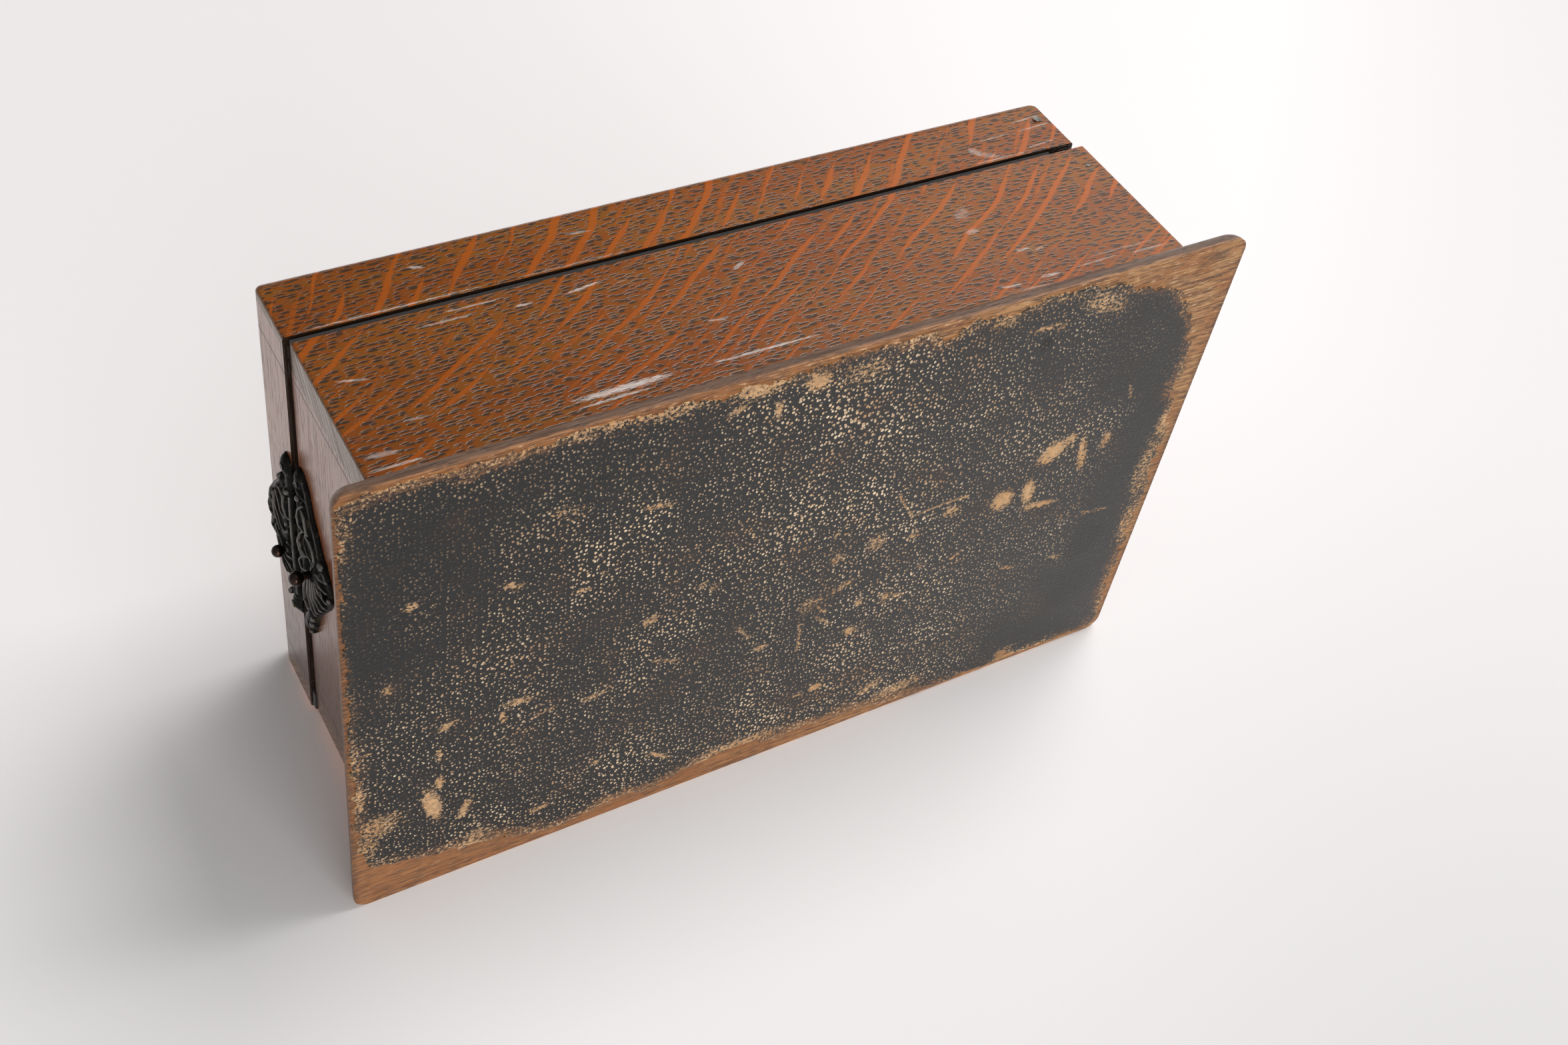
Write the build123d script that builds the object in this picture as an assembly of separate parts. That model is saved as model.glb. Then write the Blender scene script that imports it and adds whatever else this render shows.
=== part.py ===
from build123d import *
import math
import os

os.makedirs("parts", exist_ok=True)

# Lidded oak box on a projecting base. Millimetres, +Z up, origin at the bottom centre of the base.
# The front, with the clasp, faces -Y. The hinges are at the back, +Y. Left is -X.

# ---- base ----
BASE_LENGTH = 250.0
BASE_WIDTH = 160.0
BASE_TOP = 6.5
BASE_CORNER_R = 4.5
BASE_ROUND_OVER = 5.9  # quarter round along the upper edge of the rim
COVERING_T = 0.4
COVERING_INSET = 1.2

# ---- body ----
OUTER_HALF_W = 70.0
BODY_FRONT_Y = -113.2
BODY_REAR_Y = 115.7
BODY_SIDE_T = 11.0
BODY_FRONT_T = 9.0
BODY_REAR_T = 11.0
BODY_END_TOP = 59.4
BODY_SIDE_TOP = 59.0  # the sides stop a little lower than the end panels
BODY_LIP_LEFT = 5.5  # what the corner rebate leaves of each side panel
BODY_LIP_RIGHT = 9.0
EDGE_EASE = 0.8

# ---- lid ----
LID_FRONT_Y = -114.3
LID_REAR_Y = 113.6
LID_BOTTOM = 61.3
LID_TOP = 83.2
LID_SIDE_T = 9.0
LID_FRONT_T = 9.0
LID_REAR_T = 8.0
LID_LIP_LEFT = 6.5
LID_LIP_RIGHT = 3.0
LID_ROUND = 4.2
LID_PANEL_T = 8.0
LID_PANEL_LIP = 5.0  # width of frame left around the let-in top panel

# ---- linings ----
LINER_T = 2.5
LINER_TOP = 64.5  # the liner boards stand up inside the lid as a light trap
PAD_T = 0.8
PAD_GAP = 0.3
SEAL_TOP = 60.9
SEAL_SETBACK = 0.8
SEAL_W = 7.0

# ---- hinges, their knuckles sunk between the two rims ----
HINGE_X = (-40.0, 40.0)
HINGE_LEN = 30.0
HINGE_Y = 113.0
HINGE_Z = 0.5 * (BODY_END_TOP + LID_BOTTOM)
KNUCKLE_R = 2.0
KNUCKLES = 5
KNUCKLE_GAP = 0.15
HINGE_PIN_R = 0.8
PIN_SLACK = 0.05
LEAF_T = 0.85
LEAF_FRONT_Y = 105.9
KNUCKLE_NOTCH = 2.25  # half size of the notches cut for the knuckles
HINGE_SCREW_Y = 108.2

# ---- clasp ----
PLATE_T = 1.6
CLASP_STEM_Y = -119.0  # how far out the two balls stand
LID_BALL = (-4.3, 63.8)
LID_BALL_R = 1.7
BUTTON_X = 0.0
BUTTON_Z = 49.6
BUTTON_BALL_R = 2.0
STEM_R = 1.0
STEM_SLACK = 0.06
BUTTON_TRAVEL = 1.5
MORTISE_Y = (-110.7, BODY_FRONT_Y + BODY_FRONT_T)
MORTISE_HALF_W = 4.6
MORTISE_BOTTOM = 44.5


def box(x0, x1, y0, y1, z0, z1):
    """Solid box between two corners."""
    block = Box(x1 - x0, y1 - y0, z1 - z0)
    return Pos((x0 + x1) / 2, (y0 + y1) / 2, (z0 + z1) / 2) * block


def rod_x(x0, x1, y, z, r):
    """Cylinder along X."""
    return Pos((x0 + x1) / 2, y, z) * Rot(0, 90, 0) * Cylinder(r, x1 - x0)


def rod_y(x, y0, y1, z, r):
    """Cylinder along Y."""
    return Pos(x, (y0 + y1) / 2, z) * Rot(90, 0, 0) * Cylinder(r, y1 - y0)


def rod_z(x, y, z0, z1, r):
    """Cylinder along Z."""
    return Pos(x, y, (z0 + z1) / 2) * Cylinder(r, z1 - z0)


def countersunk_z(x, y, z_head, direction, head_r, shank_r, length):
    """Flat-headed wood screw along Z. Its head lies flush at z_head and it is driven in direction."""
    head_h = head_r - shank_r
    points = [
        (0, 0),
        (head_r, 0),
        (shank_r, direction * head_h),
        (shank_r, direction * (length - 2 * shank_r)),
        (0, direction * length),
    ]
    profile = make_face(Polyline(*points, close=True))
    return Pos(x, y, z_head) * revolve(Plane.XZ * profile, Axis.Z)


def save(name, shape):
    """Write one node. Groups are saved as separate solids."""
    export_step(shape if not isinstance(shape, list) else Compound(shape), f"parts/{name}.step")


# ---- base plate, its covering and the screws up into the body sides ----
SCREW_X = 62.5
SCREW_Y = 63.0
SCREW_HEAD_R = 3.4
SCREW_SHANK_R = 1.6
SCREW_LENGTH = 20.0

outline = RectangleRounded(BASE_WIDTH, BASE_LENGTH, BASE_CORNER_R)
plate = Pos(0, 0, COVERING_T) * extrude(outline, BASE_TOP - COVERING_T)
plate = fillet(plate.faces().sort_by(Axis.Z)[-1].edges(), BASE_ROUND_OVER)
base_screws = [
    countersunk_z(sx * SCREW_X, sy * SCREW_Y, COVERING_T, 1, SCREW_HEAD_R, SCREW_SHANK_R, SCREW_LENGTH)
    for sx in (-1, 1)
    for sy in (-1, 1)
]
for screw in base_screws:
    plate -= screw
save("base_plate", plate)
save("base_screws", base_screws)
covering = RectangleRounded(
    BASE_WIDTH - 2 * COVERING_INSET, BASE_LENGTH - 2 * COVERING_INSET, BASE_CORNER_R - COVERING_INSET
)
save("base_covering", extrude(covering, COVERING_T))


# ---- frames of four panels with rebated corners, shared by the body and the lid ----
def four_panels(frame, span, side_t, front_t, rear_t, lips):
    """Cut a hollow frame into left, right, front and rear panels at its corner rebates."""
    y0, y1, z0, z1 = span
    big = 2 * OUTER_HALF_W
    left_lip, right_lip = lips
    ends = box(-OUTER_HALF_W + left_lip, OUTER_HALF_W - right_lip, y0 - 1, y1 + 1, z0 - 1, z1 + 1)
    front = frame & (ends & box(-big, big, y0 - 1, y0 + front_t, z0 - 1, z1 + 1))
    rear = frame & (ends & box(-big, big, y1 - rear_t, y1 + 1, z0 - 1, z1 + 1))
    rest = frame - front - rear
    left = rest & box(-big, 0, y0 - 1, y1 + 1, z0 - 1, z1 + 1)
    right = rest & box(0, big, y0 - 1, y1 + 1, z0 - 1, z1 + 1)
    return left, right, front, rear


def hinge_notches(rim_z, direction):
    """The notches in a rear panel that the hinge knuckles lie in."""
    cut = []
    for cx in HINGE_X:
        half = HINGE_LEN / 2 + 0.4
        z0, z1 = sorted((rim_z - direction, HINGE_Z + direction * KNUCKLE_NOTCH))
        cut.append(box(cx - half, cx + half, HINGE_Y - KNUCKLE_NOTCH - 0.1, BODY_REAR_Y + 1, z0, z1))
    return cut


# Screws of the hinges, one pair in each leaf.
HINGE_SCREW_HEAD_R = 1.55
HINGE_SCREW_R = 0.8
HINGE_SCREW_LEN = 9.0
screw_spots = [cx + dx for cx in HINGE_X for dx in (-9.0, 9.0)]
hinge_body_screws = [
    countersunk_z(
        x, HINGE_SCREW_Y, BODY_END_TOP + LEAF_T, -1, HINGE_SCREW_HEAD_R, HINGE_SCREW_R, HINGE_SCREW_LEN
    )
    for x in screw_spots
]
hinge_lid_screws = [
    countersunk_z(x, HINGE_SCREW_Y, LID_BOTTOM - LEAF_T, 1, HINGE_SCREW_HEAD_R, HINGE_SCREW_R, HINGE_SCREW_LEN)
    for x in screw_spots
]

# ---- clasp plates: cast fronts with a scrolled outline, one on the lid and one on the body ----
LID_PLATE_OUTLINE = [
    (28.0, 60.7),
    (29.4, 64.4),
    (26.0, 66.2),
    (20.6, 66.6),
    (15.6, 69.4),
    (11.0, 72.6),
    (5.0, 74.6),
    (0.0, 74.4),
    (-5.0, 73.2),
    (-10.0, 69.8),
    (-15.0, 67.0),
    (-20.0, 65.2),
    (-26.0, 65.4),
    (-28.6, 63.6),
    (-28.0, 60.7),
]
BODY_PLATE_OUTLINE = [
    (28.6, 59.8),
    (30.6, 56.6),
    (28.6, 53.4),
    (23.1, 50.6),
    (19.7, 49.4),
    (16.8, 46.8),
    (10.8, 43.4),
    (6.5, 39.4),
    (1.0, 38.2),
    (-4.8, 40.4),
    (-11.1, 44.8),
    (-16.8, 48.8),
    (-24.0, 51.6),
    (-30.0, 54.4),
    (-30.6, 57.8),
    (-28.6, 59.8),
]


def cast_plate(outline_points, y_back):
    """Flat plate in the XZ plane with the given outline. It stands PLATE_T in front of y_back."""
    face = make_face(Polyline(*outline_points, close=True))
    solid = extrude(Plane.XZ * face, PLATE_T)
    shift = y_back - solid.bounding_box().max.Y
    solid = Pos(0, shift, 0) * solid
    return chamfer(solid.faces().sort_by(Axis.Y)[0].edges(), 0.35)


PIN_R = 0.6
PIN_HEAD_R = 1.1
PIN_HEAD_T = 0.6
PIN_LENGTH = 4.6
LID_PIN_SPOTS = ((-25.6, 63.0), (26.6, 63.4), (0.0, 71.0))
BODY_PIN_SPOTS = ((-25.0, 55.8), (26.8, 56.2), (0.0, 42.0))


def plate_pins(spots, y_back):
    """Small round-headed pins that hold a clasp plate to the wood."""
    front = y_back - PLATE_T
    return [
        rod_y(x, front - PIN_HEAD_T, front, z, PIN_HEAD_R) + rod_y(x, front, y_back + PIN_LENGTH, z, PIN_R)
        for x, z in spots
    ]


lid_pins = plate_pins(LID_PIN_SPOTS, LID_FRONT_Y)
body_pins = plate_pins(BODY_PIN_SPOTS, BODY_FRONT_Y)

# ---- release button, catch bar, return spring and cover plate, let into the front panel ----
PRONG_Y = (-110.3, -109.3)
PRONG_X = (2.0, 3.8)
PRONG_BOTTOM = 50.4
BARB_H = 1.8
BARB_REACH = 1.1
BAR_Y = (-109.15, -107.95)
BAR_HALF_W = 3.9
BAR_TOP = 54.2
COLLAR_R = 1.7
COLLAR_Y = (-110.6, -109.6)
COVER_T = 0.6
COVER_HALF_W = 7.5
COVER_Z = (42.5, 57.5)
TAIL_R = 0.7
TAIL_END_Y = -106.6

collar = rod_y(BUTTON_X, COLLAR_Y[0], COLLAR_Y[1], BUTTON_Z, COLLAR_R)
button = Pos(BUTTON_X, CLASP_STEM_Y, BUTTON_Z) * Sphere(BUTTON_BALL_R)
button += rod_y(BUTTON_X, CLASP_STEM_Y, TAIL_END_Y, BUTTON_Z, TAIL_R)
button += rod_y(BUTTON_X, CLASP_STEM_Y, COLLAR_Y[1], BUTTON_Z, STEM_R) + collar
save("release_button", button)

# The bar hooks over the barbs of the keeper from behind, so pushing the button frees them.
bar_bottom = PRONG_BOTTOM + BARB_H + 0.15
catch_bar = box(-BAR_HALF_W, BAR_HALF_W, BAR_Y[0], BAR_Y[1], bar_bottom, BAR_TOP)
catch_bar += box(-1.7, 1.7, BAR_Y[0], BAR_Y[1], BUTTON_Z - 2.0, bar_bottom)
catch_bar -= rod_y(BUTTON_X, BAR_Y[0] - 1, BAR_Y[1] + 1, BUTTON_Z, TAIL_R)
save("catch_bar", catch_bar)

# Return spring on the tail of the button, between the bar and the cover plate.
SPRING_R = 1.25
SPRING_WIRE_R = 0.17
SPRING_TURNS = 4
spring_y0 = BAR_Y[1] + SPRING_WIRE_R + 0.02
spring_y1 = MORTISE_Y[1] - COVER_T - SPRING_WIRE_R - 0.02
pitch = (spring_y1 - spring_y0) / SPRING_TURNS
coil = Helix(pitch, spring_y1 - spring_y0, SPRING_R)
wire_start = Plane(origin=coil @ 0, z_dir=coil % 0)
spring = sweep(wire_start * Circle(SPRING_WIRE_R), path=coil, is_frenet=True)
spring = Pos(BUTTON_X, spring_y0, BUTTON_Z) * Rot(-90, 0, 0) * spring
save("button_spring", spring)

cover = box(
    -COVER_HALF_W, COVER_HALF_W, MORTISE_Y[1] - COVER_T, MORTISE_Y[1], COVER_Z[0], COVER_Z[1]
)
save("catch_cover_plate", cover)

# ---- keeper: a fork under the lid whose two prongs pass either side of the button stem ----
FOOT_T = 1.2
FOOT_HALF_W = 9.0
FOOT_Y = (-112.6, -107.2)
KEEPER_SCREW_X = 6.4
KEEPER_SCREW_Y = -110.0
keeper = box(-FOOT_HALF_W, FOOT_HALF_W, FOOT_Y[0], FOOT_Y[1], LID_BOTTOM, LID_BOTTOM + FOOT_T)
for side in (-1, 1):
    x0, x1 = sorted((side * PRONG_X[0], side * PRONG_X[1]))
    keeper += box(x0, x1, PRONG_Y[0], PRONG_Y[1], PRONG_BOTTOM, LID_BOTTOM)
    barb = Polyline(
        (PRONG_Y[1], PRONG_BOTTOM),
        (PRONG_Y[1] + BARB_REACH, PRONG_BOTTOM + BARB_H),
        (PRONG_Y[1], PRONG_BOTTOM + BARB_H),
        close=True,
    )
    keeper += extrude(Plane(origin=(x0, 0, 0), x_dir=(0, 1, 0), z_dir=(1, 0, 0)) * make_face(barb), x1 - x0)
keeper_screws = [
    countersunk_z(sx * KEEPER_SCREW_X, KEEPER_SCREW_Y, LID_BOTTOM, 1, 1.5, 0.8, 8.0) for sx in (-1, 1)
]
for screw in keeper_screws:
    keeper -= screw
save("keeper_fork", keeper)
save("keeper_screws", keeper_screws)

# ---- fixed ball on the lid plate, to lift the lid by ----
KNOB_TANG = 4.0
ball_x, ball_z = LID_BALL
knob = Pos(ball_x, CLASP_STEM_Y, ball_z) * Sphere(LID_BALL_R)
knob += rod_y(ball_x, CLASP_STEM_Y, LID_FRONT_Y + KNOB_TANG, ball_z, 0.8)
save("lid_lift_knob", knob)

lid_plate = cast_plate(LID_PLATE_OUTLINE, LID_FRONT_Y) - knob
for pin in lid_pins:
    lid_plate -= pin
save("clasp_lid_plate", lid_plate)
save("clasp_lid_pins", lid_pins)
body_plate = cast_plate(BODY_PLATE_OUTLINE, BODY_FRONT_Y)
body_plate -= rod_y(BUTTON_X, CLASP_STEM_Y, MORTISE_Y[0], BUTTON_Z, STEM_R + STEM_SLACK)
for pin in body_pins:
    body_plate -= pin
save("clasp_body_plate", body_plate)
save("clasp_body_pins", body_pins)

# ---- body panels ----
body_len = BODY_REAR_Y - BODY_FRONT_Y
body_mid_y = (BODY_REAR_Y + BODY_FRONT_Y) / 2
body_h = BODY_END_TOP - BASE_TOP
body_frame = Pos(0, body_mid_y, BASE_TOP + body_h / 2) * Box(2 * OUTER_HALF_W, body_len, body_h)
body_frame = fillet(body_frame.edges().filter_by(Axis.Z), EDGE_EASE)
in_x = OUTER_HALF_W - BODY_SIDE_T
in_y0 = BODY_FRONT_Y + BODY_FRONT_T
in_y1 = BODY_REAR_Y - BODY_REAR_T
body_frame -= box(-in_x, in_x, in_y0, in_y1, BASE_TOP - 1, BODY_END_TOP + 1)
side_left, side_right, front, rear = four_panels(
    body_frame,
    (BODY_FRONT_Y, BODY_REAR_Y, BASE_TOP, BODY_END_TOP),
    BODY_SIDE_T,
    BODY_FRONT_T,
    BODY_REAR_T,
    (BODY_LIP_LEFT, BODY_LIP_RIGHT),
)
trim = box(
    -OUTER_HALF_W - 1, OUTER_HALF_W + 1, BODY_FRONT_Y - 1, BODY_REAR_Y + 1, BODY_SIDE_TOP, BODY_END_TOP + 1
)
side_left -= trim
side_right -= trim
for screw in base_screws:
    side_left -= screw
    side_right -= screw

# One small brad through the right side into the rear panel.
BRAD_SPOT = (111.4, 51.0)
brad = rod_x(OUTER_HALF_W - 14.0, OUTER_HALF_W + 0.1, BRAD_SPOT[0], BRAD_SPOT[1], 0.6)
save("body_corner_brad", brad)
side_right -= brad
rear -= brad
save("body_side_left", side_left)
save("body_side_right", side_right)

front -= box(-MORTISE_HALF_W, MORTISE_HALF_W, MORTISE_Y[0], MORTISE_Y[1] + 1, MORTISE_BOTTOM, BODY_END_TOP + 1)
front -= rod_y(BUTTON_X, BODY_FRONT_Y - 1, MORTISE_Y[0] + 1, BUTTON_Z, STEM_R + STEM_SLACK)
front -= cover
for pin in body_pins:
    front -= pin
save("body_front", front)
for cut in hinge_notches(BODY_END_TOP, -1):
    rear -= cut
for screw in hinge_body_screws:
    rear -= screw
save("body_rear", rear)

# ---- liner boards and floor pad ----
liner_x = in_x - LINER_T
liners = {
    "liner_left": box(-in_x, -liner_x, in_y0, in_y1, BASE_TOP, LINER_TOP),
    "liner_right": box(liner_x, in_x, in_y0, in_y1, BASE_TOP, LINER_TOP),
    "liner_front": box(-liner_x, liner_x, in_y0, in_y0 + LINER_T, BASE_TOP, LINER_TOP),
    "liner_rear": box(-liner_x, liner_x, in_y1 - LINER_T, in_y1, BASE_TOP, LINER_TOP),
}
for name, board in liners.items():
    save(name, chamfer(board.faces().sort_by(Axis.Z)[-1].edges(), 0.5))
floor_pad = box(
    -liner_x + PAD_GAP,
    liner_x - PAD_GAP,
    in_y0 + LINER_T + PAD_GAP,
    in_y1 - LINER_T - PAD_GAP,
    BASE_TOP,
    BASE_TOP + PAD_T,
)
save("floor_pad", floor_pad)

# ---- felt strips on the body rim that close the gap under the lid ----
SEAL_END_PROUD = 0.6
SEAL_SLOT = 10.0
seal_outer = OUTER_HALF_W - SEAL_SETBACK
seal_y1 = in_y1
seal_left = box(
    -seal_outer, -seal_outer + SEAL_W, BODY_FRONT_Y - SEAL_END_PROUD, seal_y1, BODY_SIDE_TOP, SEAL_TOP
)
seal_left = fillet(seal_left.faces().sort_by(Axis.Y)[0].edges(), 0.6)
# The lapped end panels stand a little higher than the sides, so the strip is relieved over them.
seal_left -= front
save("rim_seal_left", seal_left)
seal_right = box(
    seal_outer - SEAL_W, seal_outer, BODY_FRONT_Y + 0.5, seal_y1, BODY_SIDE_TOP, SEAL_TOP
)
seal_right -= front
save("rim_seal_right", seal_right)
seal_front_y = (BODY_FRONT_Y + SEAL_SETBACK, BODY_FRONT_Y + SEAL_SETBACK + SEAL_W - 0.5)
inner = seal_outer - SEAL_W - 0.2
save(
    "rim_seal_front",
    [
        box(-inner, -SEAL_SLOT, seal_front_y[0], seal_front_y[1], BODY_END_TOP, SEAL_TOP),
        box(SEAL_SLOT, inner, seal_front_y[0], seal_front_y[1], BODY_END_TOP, SEAL_TOP),
    ],
)

# ---- lid panels ----
lid_len = LID_REAR_Y - LID_FRONT_Y
lid_mid_y = (LID_REAR_Y + LID_FRONT_Y) / 2
lid_h = LID_TOP - LID_BOTTOM
lid_frame = Pos(0, lid_mid_y, LID_BOTTOM + lid_h / 2) * Box(2 * OUTER_HALF_W, lid_len, lid_h)
lid_frame = fillet(lid_frame.edges().filter_by(Axis.Z), EDGE_EASE)
lid_frame = fillet(lid_frame.faces().sort_by(Axis.Z)[-1].edges(), LID_ROUND)
lid_in_x = OUTER_HALF_W - LID_SIDE_T
lid_in_y0 = LID_FRONT_Y + LID_FRONT_T
lid_in_y1 = LID_REAR_Y - LID_REAR_T
panel_bottom = LID_TOP - LID_PANEL_T
top_panel = box(
    -OUTER_HALF_W + LID_PANEL_LIP,
    OUTER_HALF_W - LID_PANEL_LIP,
    LID_FRONT_Y + LID_PANEL_LIP,
    LID_REAR_Y - LID_PANEL_LIP,
    panel_bottom,
    LID_TOP,
)
save("lid_top_panel", top_panel)
lid_frame -= top_panel
lid_frame -= box(-lid_in_x, lid_in_x, lid_in_y0, lid_in_y1, LID_BOTTOM - 1, panel_bottom)
lid_left, lid_right, lid_front, lid_rear = four_panels(
    lid_frame,
    (LID_FRONT_Y, LID_REAR_Y, LID_BOTTOM, LID_TOP),
    LID_SIDE_T,
    LID_FRONT_T,
    LID_REAR_T,
    (LID_LIP_LEFT, LID_LIP_RIGHT),
)
lid_front = lid_front - keeper - knob
for fixing in keeper_screws + lid_pins:
    lid_front -= fixing
save("lid_front", lid_front)
for cut in hinge_notches(LID_BOTTOM, 1):
    lid_rear -= cut
for screw in hinge_lid_screws:
    lid_rear -= screw

# A round-headed nail holds the right rear corner of the lid.
NAIL_SPOT = (109.6, 73.8)
NAIL_HEAD_R = 1.15
nail = rod_x(OUTER_HALF_W - 20.0, OUTER_HALF_W, NAIL_SPOT[0], NAIL_SPOT[1], 0.6)
nail += rod_x(OUTER_HALF_W, OUTER_HALF_W + 0.5, NAIL_SPOT[0], NAIL_SPOT[1], NAIL_HEAD_R)
save("lid_corner_nail", nail)
lid_right -= nail
lid_rear -= nail
save("lid_rear", lid_rear)
save("lid_side_left", lid_left)
save("lid_side_right", lid_right)

lining_gap = 1.0
lining = box(
    -lid_in_x + lining_gap,
    lid_in_x - lining_gap,
    lid_in_y0 + lining_gap,
    lid_in_y1 - lining_gap,
    panel_bottom - PAD_T,
    panel_bottom,
)
save("lid_lining", lining)


# ---- hinges ----
def hinge_leaf(cx, z0, z1, own, bore_r):
    """One leaf with its share of the knuckles. own lists the knuckles that it carries."""
    x_start = cx - HINGE_LEN / 2
    step = HINGE_LEN / KNUCKLES
    leaf = box(x_start, x_start + HINGE_LEN, LEAF_FRONT_Y, HINGE_Y - KNUCKLE_NOTCH, z0, z1)
    for i in own:
        x0 = x_start + i * step + (KNUCKLE_GAP if i else 0)
        x1 = x_start + (i + 1) * step - (KNUCKLE_GAP if i < KNUCKLES - 1 else 0)
        leaf += box(x0, x1, HINGE_Y - KNUCKLE_NOTCH - 0.5, HINGE_Y, z0, z1)
        leaf += rod_x(x0, x1, HINGE_Y, HINGE_Z, KNUCKLE_R)
    return leaf - rod_x(x_start - 1, x_start + HINGE_LEN + 1, HINGE_Y, HINGE_Z, bore_r)


for label, cx in zip(("left", "right"), HINGE_X):
    body_leaf = hinge_leaf(cx, BODY_END_TOP, BODY_END_TOP + LEAF_T, (0, 2, 4), HINGE_PIN_R + 0.01)
    lid_leaf = hinge_leaf(cx, LID_BOTTOM - LEAF_T, LID_BOTTOM, (1, 3), HINGE_PIN_R + PIN_SLACK)
    for screw in hinge_body_screws:
        body_leaf -= screw
    for screw in hinge_lid_screws:
        lid_leaf -= screw
    save(f"hinge_body_leaf_{label}", body_leaf)
    save(f"hinge_lid_leaf_{label}", lid_leaf)
    pin = rod_x(cx - HINGE_LEN / 2, cx + HINGE_LEN / 2, HINGE_Y, HINGE_Z, HINGE_PIN_R)
    save(f"hinge_pin_{label}", pin)
save("hinge_body_screws", hinge_body_screws)
save("hinge_lid_screws", hinge_lid_screws)
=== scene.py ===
import math

import bpy
from mathutils import Matrix, Vector, noise


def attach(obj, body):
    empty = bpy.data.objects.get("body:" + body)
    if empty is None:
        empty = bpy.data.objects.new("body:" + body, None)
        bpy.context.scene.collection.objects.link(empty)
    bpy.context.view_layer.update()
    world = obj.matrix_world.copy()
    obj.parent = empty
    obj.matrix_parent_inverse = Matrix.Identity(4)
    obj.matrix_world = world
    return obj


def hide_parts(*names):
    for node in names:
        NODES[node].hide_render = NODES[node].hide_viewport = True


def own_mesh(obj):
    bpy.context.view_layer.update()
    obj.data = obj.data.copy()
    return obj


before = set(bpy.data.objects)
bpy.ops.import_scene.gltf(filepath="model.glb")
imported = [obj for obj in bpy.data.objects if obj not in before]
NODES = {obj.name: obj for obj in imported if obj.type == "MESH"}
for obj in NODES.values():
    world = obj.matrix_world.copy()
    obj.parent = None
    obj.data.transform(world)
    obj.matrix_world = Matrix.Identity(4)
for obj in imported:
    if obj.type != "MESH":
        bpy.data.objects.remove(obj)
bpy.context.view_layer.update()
MM = 0.001
JOINT_LEVEL = 60.35  # height of the gap between lid and body, mm
CORNER_SEAM = 58.9  # how far from the middle the corner joints show on the end panels, mm


# ---------------------------------------------------------------- node helpers
def lin(r, g, b):
    """An sRGB colour in 0..255 as linear RGBA."""
    def one(c):
        c /= 255.0
        return c / 12.92 if c <= 0.04045 else ((c + 0.055) / 1.055) ** 2.4
    return (one(r), one(g), one(b), 1.0)


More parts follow.
